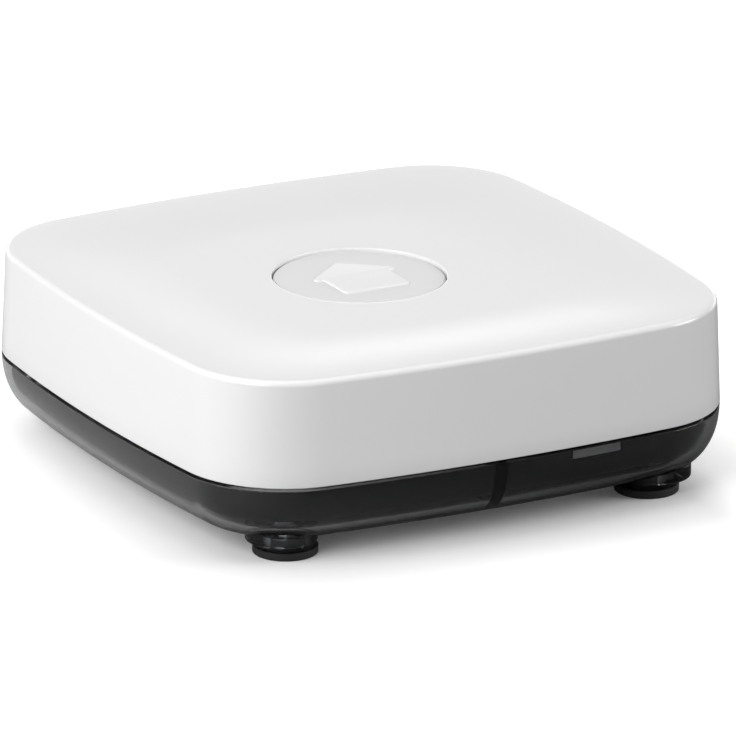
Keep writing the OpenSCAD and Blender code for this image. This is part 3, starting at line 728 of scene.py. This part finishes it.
@dataclass
class Cover:
    """The white shell, with its dished top, the round opening and the socket bay."""

    case: Case
    wall: float = 2.2 * MM
    draft: float = 0.8 * MM
    rim: float = 1.2 * MM
    flat: float = 1.2 * MM
    dish: float = 1.1 * MM
    dish_share: float = 0.64
    lip: float = 0.25 * MM
    land: float = 1.0 * MM
    hole: float = 17.4 * MM
    column: float = 3.8 * MM
    column_z: float = 20.6 * MM
    insert: float = 2.2 * MM
    insert_low: float = 19.0 * MM
    insert_top: float = 27.0 * MM
    bay_width: float = 67.0 * MM
    bay_top: float = 31.2 * MM
    bay_wall: float = 1.6 * MM
    bay_depth: float = 20.0 * MM
    bay_gap: float = 0.1 * MM
    bay_corner: float = 2.5 * MM
    bay_lip: float = 0.35 * MM
    mouth_wider: tuple[float, ...] = (1.6, 1.0, 0.35, 0.12, 0.0, 0.0)
    mouth_deeper: tuple[float, ...] = (-6.0, -1.0, 0.0, 0.35, 1.0, 0.0)
    wall_steps: int = 7
    dish_steps: int = 44

    def __post_init__(self) -> None:
        """Levels that follow from the sizes."""
        self.dish_z = self.case.rim_z - self.dish
        self.roof_z = self.dish_z - self.wall
        self.plate_y = node_box("port_plate")[1].y

    def outside(self) -> bpy.types.Object:
        """The outer form: wall, rounded rim, flat, dish and the round opening's edge.

        The wall and the rim are the outline pulled in by the profile. On the dish a ring is the straight mix
        of the rim's inner line and a circle. Its drop is the depth times s*s*(3 - 2s), s from 0 to 1.
        """
        z0, z1 = self.case.cover_z, self.case.rim_z
        steps = np.linspace(0, 1, self.wall_steps)[1:-1]
        lean = z0 + self.lip + (z1 - self.rim - z0 - self.lip) * steps
        profile = np.concatenate([
            [[self.lip, z0]], quarter((self.lip, z0), (0, z0 + self.lip), 0, 4),
            np.stack([self.draft * steps, lean], 1),
            [[self.draft, z1 - self.rim]],
            quarter((self.draft, z1 - self.rim), (self.draft + self.rim, z1), 1, 12),
            [[self.draft + self.rim + self.flat * 0.5, z1], [self.draft + self.rim + self.flat, z1]]])
        wall = self.case.loop.rings(profile[:, 0], profile[:, 1])
        inner = wall[-1, :, :2]
        share = np.linspace(0, 1, self.dish_steps)[1:, None, None]
        round_line = inner / np.linalg.norm(inner, axis=1, keepdims=True) * (self.hole + self.land)
        mixed = inner[None] * (1 - share) + round_line[None] * share
        s = np.clip(share / self.dish_share, 0, 1)
        drop = z1 - self.dish * s * s * (3 - 2 * s)
        dish = np.concatenate([mixed, np.broadcast_to(drop, mixed.shape[:2] + (1,))], 2)
        edge = np.concatenate([
            [[self.hole + self.lip, self.dish_z]],
            quarter((self.hole + self.lip, self.dish_z), (self.hole, self.dish_z - self.lip), 0, 5),
            [[self.hole, self.roof_z - self.wall]]])
        spokes = inner / np.linalg.norm(inner, axis=1, keepdims=True)
        hole = np.concatenate([spokes[None] * edge[:, :1, None],
                               np.broadcast_to(edge[:, 1:, None], (len(edge), len(inner), 1))], 2)
        return stacked("cover_shell", np.concatenate([wall, dish, hole]))

    def hollow(self) -> bpy.types.Object:
        """The room inside: the outline pulled in by the wall, with a rounded ceiling.

        The columns and the bay's collar are taken out of the room, and so stay in the shell.
        """
        z0, top = self.case.cover_z - MM, self.roof_z
        inset = self.wall + self.draft
        profile = np.concatenate([[[self.wall, z0], [inset, top - self.wall]],
                                  quarter((inset, top - self.wall), (inset + self.wall, top), 1, 5)])
        room = stacked("room", self.case.loop.rings(profile[:, 0], profile[:, 1]))
        posts = [turned("post", [(self.column, self.column_z), (self.column, top + MM)], at, SOME_SIDES)
                 for at in self.case.feet()]
        middle = (0, self.plate_y + self.bay_gap + self.bay_depth / 2)
        line = box_loop(self.bay_width + 2 * self.bay_wall, self.bay_depth, MM / 2, middle)
        collar = stacked("collar", line.rings([0, 0], [0, self.bay_top + self.bay_wall]))
        return combine(room, posts + [collar], Cut.TAKE)

    def bay_tool(self) -> bpy.types.Object:
        """What cuts the socket bay: a round-cornered mouth with a small lip along the wall's own curve."""
        tall = 2 * (self.bay_top - self.case.cover_z)
        mouth = box_loop(self.bay_width, tall, self.bay_corner, steps=10)
        grow = np.array(self.mouth_wider) * self.bay_lip
        deep = np.array(self.mouth_deeper) * self.bay_lip
        flat = mouth.rings(-grow, deep)
        side = (self.case.half**2 + self.case.bow**2) / (2 * self.case.bow)
        crown = self.case.half - side + np.sqrt(side**2 - flat[..., 0] ** 2)
        lean = self.draft * np.clip(flat[..., 1] / (self.case.rim_z - self.case.cover_z), 0, 1)
        y = crown - lean - flat[..., 2]
        y[-1] = self.plate_y - MM
        return stacked("bay", np.stack([flat[..., 0], y, self.case.cover_z + flat[..., 1]], 2))

    def build(self) -> None:
        """Cuts the hollow and the bay and places the shell."""
        shell = combine(self.outside(), [self.hollow()], Cut.TAKE)
        bore = [(self.insert, self.insert_low), (self.insert, self.insert_top)]
        sockets = [turned("insert_hole", bore, at, FEW_SIDES) for at in self.case.feet()]
        combine(shell, [self.bay_tool(), *sockets], Cut.TAKE)
        place_piece(soften(shell, sharp_angle=28), Paint.COVER, "case", ["top_cover"])


@dataclass
class Tray:
    """The smoked tray: a bowl-sided shell on four stepped feet, with vents and a label's recess below."""

    case: Case
    wall: float = 2.0 * MM
    rise: float = 10.0 * MM
    run: float = 6.9 * MM
    draft: float = 0.9 * MM
    lip: float = 0.14 * MM
    under_z: float = 4.7 * MM
    step: float = 7.1 * MM
    step_z: float = 3.2 * MM
    neck: float = 6.05 * MM
    neck_z: float = 1.0 * MM
    fillet: float = 0.35 * MM
    column_r: float = 4.2 * MM
    column_z: float = 9.3 * MM
    head: float = 3.1 * MM
    head_z: float = 4.0 * MM
    shank: float = 1.7 * MM
    label: tuple[float, float] = (46.0 * MM, 20.0 * MM)
    label_corner: float = 1.2 * MM
    label_t: float = 0.4 * MM
    vent: tuple[float, float] = (2.0 * MM, 20.0 * MM)
    vent_corner: float = 0.98 * MM
    vent_pitch: float = 5.0 * MM
    vent_row: float = 27.0 * MM
    vents_beside: int = 4

    def bowl(self, off: float, low_z: float | None = None, steps: int = 26) -> np.ndarray:
        """Rows of (inset, height) up the bowl's side, pulled in by an offset.

        The side is a quarter ellipse: height = bottom + rise - (rise - off) sin a, inset = off + lean +
        (run - off)(1 - cos a), with a lean that grows evenly downwards.

        Args:
            off: how far inside the outer face.
            low_z: where it starts, or None for its own lowest point.
            steps: rows on the round part.

        Returns:
            The rows, from the bottom up.
        """
        first = math.pi / 2
        if low_z is not None:
            first = math.asin((self.under_z + self.rise - low_z) / (self.rise - off))
        a = np.linspace(first, 0, steps)
        z = self.under_z + self.rise - (self.rise - off) * np.sin(a)
        lean = self.draft * (self.case.tray_rim_z - z) / (self.case.tray_rim_z - self.under_z)
        return np.stack([off + lean + (self.run - off) * (1 - np.cos(a)), z], 1)

    def column(self, radius: float, low: float, edge: float, at: tuple[float, float]) -> bpy.types.Object:
        """A turned stub under the floor, with a rounded lower edge."""
        rows = np.concatenate([[[radius - edge, low]],
                               quarter((radius - edge, low), (radius, low + edge), 0, 5),
                               [[radius, self.under_z + 2.2 * MM]]])
        return turned("stub", rows, at)

    def feet(self) -> list[bpy.types.Object]:
        """The necks, and the wider steps that stand a little further out."""
        necks = [self.column(self.neck, self.neck_z, 0.2 * MM, at) for at in self.case.feet()]
        outer = self.case.feet(self.case.step_x, self.case.step_y)
        return necks + [self.column(self.step, self.step_z, self.fillet, at) for at in outer]

    def build(self) -> None:
        """Joins the bowl and the feet, then takes out the hollow, screw holes, recess and vents."""
        top = self.case.tray_rim_z
        outer = np.concatenate([self.bowl(0.0), [[0.0, top - self.lip]],
                                quarter((0.0, top - self.lip), (self.lip, top), 1, 5)])
        shell = stacked("tray_shell", self.case.loop.rings(outer[:, 0], outer[:, 1]))
        combine(shell, self.feet(), Cut.JOIN)
        inner = np.concatenate([self.bowl(self.wall), [[self.wall, top + MM]]])
        room = stacked("room", self.case.loop.rings(inner[:, 0], inner[:, 1]))
        column = [(self.column_r, self.under_z), (self.column_r, self.column_z)]
        posts = [turned("post", column, at, POST_SIDES) for at in self.case.feet()]
        combine(room, posts, Cut.TAKE)
        screw = [(self.head, 0), (self.head, self.head_z), (self.shank, self.head_z), (self.shank, 12 * MM)]
        holes = [turned("hole", screw, at, SOME_SIDES) for at in self.case.feet()]
        recess = stacked("recess", box_loop(*self.label, self.label_corner).rings(
            [0, 0], [0, self.under_z + self.label_t]))
        combine(shell, [room, *holes, recess, *self.vents()], Cut.TAKE)
        place_piece(soften(shell, sharp_angle=30), Paint.SMOKE, "case", ["smoked_base"])

    def vents(self) -> list[bpy.types.Object]:
        """Two rows of nine round-ended slots through the floor."""
        span = range(-self.vents_beside, self.vents_beside + 1)
        places = [(i * self.vent_pitch, y) for i in span for y in (-self.vent_row, self.vent_row)]
        lines = [box_loop(*self.vent, self.vent_corner, at) for at in places]
        return [stacked("vent", line.rings([0, 0], [0, 2 * self.under_z])) for line in lines]


@dataclass
class Chassis:
    """The black inner tray that carries the board, seen through the smoked wall, and its front rib."""

    case: Case
    tray: Tray
    off: float = 2.4 * MM
    wall: float = 1.6 * MM
    floor_z: float = 9.3 * MM
    floor_t: float = 1.5 * MM
    round_z: float = 13.6 * MM
    edge: float = 0.35 * MM
    post: float = 4.2 * MM
    post_z: float = 20.3 * MM
    stand: float = 3.0 * MM
    stand_z: float = 15.0 * MM
    stand_x: float = 43.0 * MM
    stand_y: tuple[float, float] = (-26.0 * MM, 20.0 * MM)
    shank: float = 1.7 * MM
    rib: float = 2.7 * MM
    rib_depth: float = 12.0 * MM
    rib_press: float = 0.04 * MM
    notch_y: float = 53.3 * MM
    notch_z: tuple[float, float] = (16.6 * MM, 30.0 * MM)
    notch_depth: float = 40.0 * MM
    gap: float = 0.3 * MM
    pocket_gap: float = 0.3 * MM
    pocket_back: float = 3.35 * MM
    pocket_reach: float = 12.0 * MM

    def build(self) -> None:
        """Outer skin less the hollow, with columns, board posts and the rib at the middle of the front."""
        low_z, top = self.floor_z, node_box("inner_chassis")[1].z
        rows = self.tray.bowl(self.off, low_z + self.edge)
        outer = np.concatenate([[[rows[0, 0] + self.edge, low_z]], rows,
                                [[self.off + 0.1 * MM, self.case.cover_z]],
                                [[self.off + 0.25 * MM, top]]])
        frame_part = stacked("chassis_tray", self.case.loop.rings(outer[:, 0], outer[:, 1]))
        inner = [[rows[0, 0] + self.wall, low_z + self.floor_t],
                 [self.off + self.wall + 0.4 * MM, self.round_z], [self.off + self.wall, top + MM]]
        room = stacked("room", self.case.loop.rings([r[0] for r in inner], [r[1] for r in inner]))
        posts = [turned("post", [(self.post, low_z), (self.post, self.post_z)], at, SOME_SIDES)
                 for at in self.case.feet()]
        stands = [turned("stand", [(self.stand, low_z), (self.stand, self.stand_z)], (x, y), FEW_SIDES)
                  for x in (-self.stand_x, self.stand_x) for y in self.stand_y]
        combine(frame_part, [room], Cut.TAKE)
        press = self.tray.wall - self.rib_press
        bounds_rows = np.concatenate([self.tray.bowl(press), [[press, self.case.tray_rim_z]]])
        bound = stacked("bound", self.case.loop.rings(bounds_rows[:, 0], bounds_rows[:, 1]))
        rib_line = box_loop(self.rib, self.rib_depth, self.gap, (0, self.rib_depth / 2 - self.case.half))
        rib = stacked("rib", rib_line.rings([0, 0], [self.tray.under_z, self.case.tray_rim_z]))
        combine(rib, [bound], Cut.KEEP)
        rib.name = "chassis_rib"
        place_piece(soften(rib, sharp_angle=30), Paint.RIB)
        combine(frame_part, [*posts, *stands], Cut.JOIN)
        combine(frame_part, [self.strip_pocket()], Cut.TAKE)
        holes = [turned("hole", [(self.shank, low_z - MM), (self.shank, self.post_z + MM)], at, FEW_SIDES)
                 for at in self.case.feet()]
        notch_line = box_loop(2 * (node_box("port_plate")[1].x + self.gap), self.notch_depth, self.gap,
                              (0, self.notch_y + self.notch_depth / 2))
        notch = stacked("notch", notch_line.rings([0, 0], self.notch_z))
        combine(frame_part, [*holes, notch], Cut.TAKE)
        soften(frame_part, sharp_angle=30)
        place_piece(frame_part, Paint.BLACK, "case", ["inner_chassis"])


    def strip_pocket(self) -> bpy.types.Object:
        """What cuts the shallow pocket that the flexible antenna lies in, open at the front and the top."""
        low, high = node_box("antenna_strip")
        middle = ((low.x + high.x) / 2, self.pocket_reach / 2 - self.case.half)
        line = box_loop(high.x - low.x + 2 * self.pocket_gap, self.pocket_reach, self.pocket_gap, middle)
        pocket = stacked("pocket", line.rings([0, 0], [low.z - self.pocket_gap, self.case.tray_rim_z]))
        back = [self.pocket_back, self.pocket_back]
        core = stacked("core", self.case.loop.rings(back, [low.z - MM, self.case.tray_rim_z + MM]))
        return combine(pocket, [core], Cut.TAKE)


@dataclass
class Feet:
    """Four rubber pads pushed over the feet's necks."""

    case: Case
    radius: float = 6.45 * MM
    neck: float = 6.05 * MM
    height: float = 1.6 * MM
    floor: float = 1.0 * MM
    edge: float = 0.35 * MM
    top_edge: float = 0.12 * MM
    gap: float = 0.02 * MM
    vent: float = 0.4 * MM
    tread: float = 1.1 * MM

    def build(self) -> None:
        """Turns each pad as a shallow cup with a rounded tread."""
        e, top_e, inside = self.edge, self.top_edge, self.neck + self.gap
        rows = np.concatenate([
            [[self.vent, 0.0]], [[self.radius - self.tread, 0.0]], [[self.radius - e, 0.0]],
            quarter((self.radius - e, 0), (self.radius, e), 0, 6),
            [[self.radius, self.height - top_e], [self.radius - top_e, self.height],
             [inside, self.height], [inside, self.floor], [self.vent, self.floor]]])
        pads = [turned("pad", rows, at) for at in self.case.feet()]
        first = combine(pads[0], pads[1:], Cut.JOIN)
        first.name = "rubber_pads"
        place_piece(soften(first, sharp_angle=35), Paint.RUBBER, "case", ["rubber_feet"])


@dataclass
class Button:
    """The round button: a satin cap with a raised house, its stem and its spring."""

    top: float = 36.85 * MM
    radius: float = 17.1 * MM
    cap_t: float = 2.05 * MM
    flange_t: float = 1.4 * MM
    edge: float = 0.3 * MM
    small_edge: float = 0.2 * MM
    skirt: float = 1.6 * MM
    stem: float = 2.5 * MM
    mark_rise: float = 0.35 * MM
    mark_edge: float = 0.33 * MM
    mark_corner: float = 0.8 * MM
    mark_flare: float = 0.05 * MM
    house_wall: float = 7.35 * MM
    house_eave: float = 10.5 * MM
    house_foot: float = -8.0 * MM
    house_eave_y: float = 1.2 * MM
    house_ridge: float = 9.9 * MM
    wire: float = 0.3 * MM
    coils: float = 5.4
    closed: float = 0.14
    creep: float = 0.06
    wire_steps: int = 420

    def house(self, low: float, top: float) -> bpy.types.Object:
        """A plain house shape with eaves, raised with a round shoulder."""
        wall, eave, foot = self.house_wall, self.house_eave, self.house_foot
        eave_y, shoulder = self.house_eave_y, self.mark_edge
        corners = [(0, self.house_ridge), (-eave, eave_y), (-wall, eave_y), (-wall, foot),
                   (wall, foot), (wall, eave_y), (eave, eave_y)]
        loop = corner_loop(corners, self.mark_corner, 7)
        rows = np.concatenate([[[-self.mark_flare, low], [0, top - shoulder]],
                               quarter((0, top - shoulder), (shoulder, top), 1, 5)])
        return stacked("house", loop.rings(rows[:, 0], rows[:, 1]))

    def build(self) -> None:
        """Turns the cap, joins the mark, and winds the spring round the stem."""
        low, high = node_box("button_cap")
        top, radius, stem, e, f = self.top, self.radius, self.stem, self.edge, self.small_edge
        flange = (high.x - low.x) / 2
        under = top - self.cap_t
        flange_z = under - self.flange_t
        rows = np.concatenate([
            [[stem - e, low.z], [stem, low.z + e], [stem, under], [radius - self.skirt, under],
             [radius - self.skirt, flange_z], [flange - f, flange_z], [flange, flange_z + f],
             [flange, under - f], [flange - f, under], [radius, under], [radius, top - e]],
            quarter((radius, top - e), (radius - e, top), 0, 6),
            [[radius - 2 * e, top]]])
        cap = turned("button_disc", rows, (0.0, 0.0), MANY_SIDES)
        soften(cap, sharp_angle=35)
        place_piece(cap, Paint.BUTTON, "pairing_button", ["button_cap"])
        mark = self.house(top - f, top + self.mark_rise)
        mark.name = "button_house"
        place_piece(soften(mark, sharp_angle=35), Paint.MARK, "pairing_button")
        self.spring()

    def spring(self) -> None:
        """Winds the spring: a helix whose first and last turns close up, as ground ends do."""
        low, high = node_box("button_spring")
        wire = self.wire
        coil = (high.x - low.x) / 2 - wire
        t = np.linspace(0, 1, self.wire_steps)
        rise = np.clip((t - self.closed) / (1 - 2 * self.closed), 0, 1)
        angle = t * self.coils * 2 * math.pi
        z = low.z + wire + (high.z - low.z - 2 * wire) * (self.creep * t + (1 - self.creep) * rise)
        path = np.stack([coil * np.cos(angle), coil * np.sin(angle), z], 1)
        wound = soften(tube("return_spring", path, wire), sharp_angle=60)
        place_piece(wound, Paint.WIRE, "case", ["button_spring"])
        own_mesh(wound)


def build_coil_antenna() -> None:
    """Winds the long-range antenna as an open helix over its board."""
    low, high = node_box("coil_antenna")
    wire, turns, steps = 0.35 * MM, 7, 480
    centre = (low + high) / 2
    coil = (high.x - low.x) / 2 - wire
    t = np.linspace(0, 1, steps)
    angle = t * turns * 2 * math.pi
    path = np.stack([centre.x + coil * np.cos(angle), centre.y + coil * np.sin(angle),
                     low.z + wire + (high.z - low.z - 2 * wire) * t], 1)
    wound = soften(tube("antenna_coil", path, wire), sharp_angle=60)
    place_piece(wound, Paint.GOLD, "case", ["coil_antenna"])


# ---------------------------------------------------------------- what the CAD already shapes


REFINED: dict[str, tuple[Paint, float]] = {
    "button_carrier": (Paint.GREY, 0.2), "carrier_screws": (Paint.ZINC, 0.12),
    "light_guide": (Paint.CLEAR, 0.15), "case_screws": (Paint.ZINC, 0.15),
    "cover_inserts": (Paint.BRASS, 0.1), "rating_plate": (Paint.FOIL, 0.08),
    "antenna_strip": (Paint.STRIP, 0.03), "port_plate": (Paint.BLACK, 0.15),
    "main_board": (Paint.GREEN, 0.1), "board_screws": (Paint.ZINC, 0.15),
    "status_leds": (Paint.LED, 0.12), "pairing_switch": (Paint.SOCKET, 0.15),
    "processor": (Paint.CHIP, 0.12), "thermal_pad": (Paint.PAD, 0.1), "heat_sink": (Paint.FINS, 0.1),
    "memory_chips": (Paint.CHIP, 0.1), "mesh_radio_board": (Paint.BLUE, 0.06),
    "mesh_radio_shield": (Paint.TIN, 0.2), "sub_radio_board": (Paint.BLUE, 0.06),
    "sub_radio_shield": (Paint.TIN, 0.2), "network_jack": (Paint.SOCKET, 0.12),
    "network_shield": (Paint.TIN, 0.1), "network_contacts": (Paint.GOLD, 0.05),
    "network_transformer": (Paint.CHIP, 0.2), "data_port_shell": (Paint.TIN, 0.1),
    "data_port_tongue": (Paint.SOCKET, 0.1), "power_jack": (Paint.SOCKET, 0.15),
    "power_pin": (Paint.ZINC, 0.2), "reset_switch": (Paint.SOCKET, 0.12), "capacitors": (Paint.CAN, 0.2),
    "power_inductor": (Paint.FERRITE, 0.4), "power_regulators": (Paint.CHIP, 0.12),
    "crystal": (Paint.TIN, 0.2), "pairing_plunger": (Paint.TAN, 0.15), "reset_button": (Paint.PIN, 0.15),
    "reset_plunger": (Paint.TAN, 0.12),
}


def build_refined() -> None:
    """Rounds the edges of the inner pieces and the sockets and gives each its finish."""
    groups = frame["record"]["behaviour"]["bodies"]
    bodies = {node: body for body, nodes in groups.items() for node in nodes}
    for node, (paint, bevel) in REFINED.items():
        place_piece(refined(node, bevel * MM), paint, bodies[node], [node])


# ---------------------------------------------------------------- studio


@dataclass(frozen=True)
class Lamp:
    """A flat soft lamp that is turned towards the hub."""

    name: str
    place: tuple[float, float, float]
    size: tuple[float, float]
    power: float

    def build(self, aim: Vector) -> None:
        """Hangs the lamp in its place, turned towards a point."""
        lamp = bpy.data.lights.new(self.name, "AREA")
        lamp.shape = "RECTANGLE"
        lamp.size, lamp.size_y = self.size
        lamp.energy = self.power
        holder = bpy.data.objects.new(self.name, lamp)
        holder.location = self.place
        holder.rotation_euler = (aim - Vector(self.place)).to_track_quat("-Z", "Y").to_euler()
        bpy.context.scene.collection.objects.link(holder)


@dataclass
class Studio:
    """A pale floor with painted light and shade around the hub, soft light and the camera."""

    azimuth: float = -28.64
    elevation: float = 18.45
    roll: float = 0.45
    distance: float = 2.38
    lens: float = 586.5
    aim_z: float = 16.7 * MM
    shift_right: float = 1.87 * MM
    shift_up: float = 1.24 * MM
    sensor: float = 36.0
    clip: tuple[float, float] = (0.05, 30.0)
    floor_radius: float = 3.0
    # Painted light on the floor: the colour that bounces onto the hub and is mirrored by it is painted dark
    # in front and bright on the left, and a painted glow that only the camera sees lifts the floor away from
    # the hub, with more on its left and right.
    floor_seen: float = 0.98
    painted_front_shade: float = 0.13
    painted_left_light: float = 0.56
    floor_slope: tuple[float, float, float] = (-0.7, 0.7, 0.0)
    painted_far_glow: float = 0.3
    painted_glow_left: float = 0.2
    painted_glow_even: float = 0.03
    painted_glow_right: float = 0.34
    shade_half: float = 0.06
    lift_from: float = 0.064
    lift_to: float = 0.125
    beside_to: float = 0.07
    right_from: float = 0.046
    right_to: float = 0.056
    card_radius: float = 2.8
    card_foot: float = 0.002
    card_top: float = 1.575
    card_half: float = 0.85
    card_glow: float = 1.9
    card_columns: int = 48
    card_rows: int = 12
    surround: float = 0.2
    lamp_aim: float = 0.02
    lamps: tuple[Lamp, ...] = (
        Lamp("left_softbox", (-1.2, -0.38, 0.75), (1.4, 1.0), 20.5),
        Lamp("top_softbox", (-0.2, 0.3, 1.6), (1.6, 1.6), 11.6),
        Lamp("right_fill", (1.55, -0.9, 0.6), (1.0, 0.8), 19.0))
    card_levels: tuple[tuple[float, float], ...] = (
        (0.0, 1.0), (0.27, 0.97), (0.36, 0.66), (0.45, 0.42), (0.58, 0.28), (0.8, 0.1), (1.0, 0.0))

    def camera(self) -> None:
        """Stands the camera on its azimuth and elevation, turned a little about its own axis."""
        az, el, roll = (math.radians(v) for v in (self.azimuth, self.elevation, self.roll))
        back = Vector((math.sin(az) * math.cos(el), -math.cos(az) * math.cos(el), math.sin(el)))
        side = Vector((0, 0, 1)).cross(back).normalized()
        up = back.cross(side)
        right = math.cos(roll) * side + math.sin(roll) * up
        top = math.cos(roll) * up - math.sin(roll) * side
        shift = right * self.shift_right + top * self.shift_up
        spot = Vector((0, 0, self.aim_z)) + back * self.distance + shift
        data = bpy.data.cameras.new("camera")
        data.lens = self.lens
        data.sensor_width = self.sensor
        data.clip_start, data.clip_end = self.clip
        camera = bpy.data.objects.new("camera", data)
        camera.matrix_world = Matrix((right, top, back)).transposed().to_4x4()
        camera.location = spot
        bpy.context.scene.collection.objects.link(camera)
        bpy.context.scene.camera = camera

    def floor(self) -> None:
        """A round sweep with painted light: white to the camera, with a painted glow that grows away from
        the hub, and to the hub painted bright on its left and dark in front.
        """
        rim = circle_loop(self.floor_radius).rings([0.0], [0.0])[0]
        plate = new_object("floor", rim, [tuple(range(len(rim)))])
        material = bpy.data.materials.new("sweep_paper")
        material.use_nodes = True
        pen = Pen(material.node_tree)
        shader = material.node_tree.nodes["Principled BSDF"]
        shader.inputs["Roughness"].default_value = 0.7
        shader.inputs["Specular IOR Level"].default_value = 0.1
        shader.inputs["Emission Color"].default_value = (1.0, 1.0, 1.0, 1.0)
        place = pen.add("ShaderNodeTexCoord").outputs["Object"]
        # Painted shade and light: for rays other than the camera's, the floor's colour runs from dark in
        # front of the hub to bright on its left.
        slope = pen.add("ShaderNodeVectorMath", {0: place, 1: self.floor_slope}, operation="DOT_PRODUCT")
        shade = pen.add("ShaderNodeMapRange", {
            "Value": slope.outputs["Value"], "From Min": -self.shade_half, "From Max": self.shade_half,
            "To Min": self.painted_front_shade, "To Max": self.painted_left_light})
        seen = pen.add("ShaderNodeLightPath").outputs["Is Camera Ray"]
        tone = pen.add("ShaderNodeMix", {0: seen, 2: shade.outputs[0], 3: self.floor_seen})
        pen.tree.links.new(tone.outputs[0], shader.inputs["Base Color"])
        # Painted glow, for camera rays only: nought at the hub and growing outwards, with more added on the
        # hub's left and to the right of its right foot, so the hub's shadow fades out quickly.
        parts = pen.add("ShaderNodeSeparateXYZ", {0: place})
        reach = pen.math("MAXIMUM", pen.math("ABSOLUTE", parts.outputs["X"], 0.0),
                         pen.math("ABSOLUTE", parts.outputs["Y"], 0.0))
        painted_far_ramp = pen.add("ShaderNodeMapRange", {
            "Value": reach, "From Min": self.lift_from, "From Max": self.lift_to,
            "To Min": 0.0, "To Max": self.painted_far_glow})
        beside = pen.add("ShaderNodeMapRange", {
            "Value": slope.outputs["Value"], "From Min": 0.0, "From Max": self.beside_to,
            "To Min": 0.0, "To Max": self.painted_glow_left})
        right = pen.add("ShaderNodeMapRange", {
            "Value": parts.outputs["X"], "From Min": self.right_from, "From Max": self.right_to,
            "To Min": self.painted_glow_even, "To Max": self.painted_glow_right})
        glow = pen.math("ADD", pen.math("ADD", painted_far_ramp.outputs[0], beside.outputs[0]), right.outputs[0])
        pen.tree.links.new(pen.math("MULTIPLY", seen, glow), shader.inputs["Emission Strength"])
        below = pen.add("ShaderNodeNewGeometry").outputs["Backfacing"]
        clear = pen.add("ShaderNodeBsdfTransparent").outputs[0]
        both = pen.add("ShaderNodeMixShader", {0: below, 1: shader.outputs[0], 2: clear})
        pen.tree.links.new(both.outputs[0], material.node_tree.nodes["Material Output"].inputs["Surface"])
        plate.data.materials.append(material)

    def card(self) -> None:
        """A tall curved card behind the hub, bright at its foot and dark above, for the lid to mirror."""
        middle = math.radians(90 + self.azimuth)
        angles = np.linspace(middle - self.card_half, middle + self.card_half, self.card_columns)
        heights = np.linspace(self.card_foot, self.card_top, self.card_rows)
        x = self.card_radius * np.cos(angles)
        y = self.card_radius * np.sin(angles)
        rings = np.stack([np.stack([x, y, np.full_like(x, z)], 1) for z in heights])
        piece = new_object("sweep_card", rings.reshape(-1, 3), ring_faces(len(heights), len(angles), False))
        material = bpy.data.materials.new("card_glow")
        material.use_nodes = True
        pen = Pen(material.node_tree)
        shader = material.node_tree.nodes["Principled BSDF"]
        shader.inputs["Base Color"].default_value = (0.0, 0.0, 0.0, 1.0)
        shader.inputs["Emission Color"].default_value = (1.0, 1.0, 1.0, 1.0)
        place = pen.add("ShaderNodeSeparateXYZ", {0: pen.add("ShaderNodeTexCoord").outputs["Object"]})
        share = pen.math("DIVIDE", place.outputs["Z"], self.card_top)
        fade = pen.add("ShaderNodeValToRGB", {0: share})
        stops = fade.color_ramp.elements
        for where, level in self.card_levels[2:]:
            stops.new(where)
        for stop, (where, level) in zip(stops, self.card_levels):
            stop.position = where
            stop.color = (level, level, level, 1.0)
        glow = pen.math("MULTIPLY", fade.outputs["Color"], self.card_glow)
        pen.tree.links.new(glow, shader.inputs["Emission Strength"])
        piece.data.materials.append(material)

    def world(self) -> None:
        """An even pale surround."""
        world = bpy.data.worlds.new("surround")
        world.use_nodes = True
        world.node_tree.nodes["Background"].inputs["Color"].default_value = (1.0, 1.0, 1.0, 1.0)
        world.node_tree.nodes["Background"].inputs["Strength"].default_value = self.surround
        bpy.context.scene.world = world

    def build(self) -> None:
        """Sets the whole stage."""
        self.floor()
        self.card()
        self.world()
        for lamp in self.lamps:
            lamp.build(Vector((0.0, 0.0, self.lamp_aim)))
        self.camera()
        bpy.context.scene.view_settings.view_transform = "Standard"


def main() -> None:
    """Builds the studio, then each sub-assembly in order."""
    logging.basicConfig(level=logging.INFO, format="%(message)s")
    Studio().build()
    case = Case()
    tray = Tray(case)
    Cover(case).build()
    tray.build()
    Chassis(case, tray).build()
    Feet(case).build()
    Button().build()
    build_coil_antenna()
    build_refined()


if __name__ == "__main__":
    main()
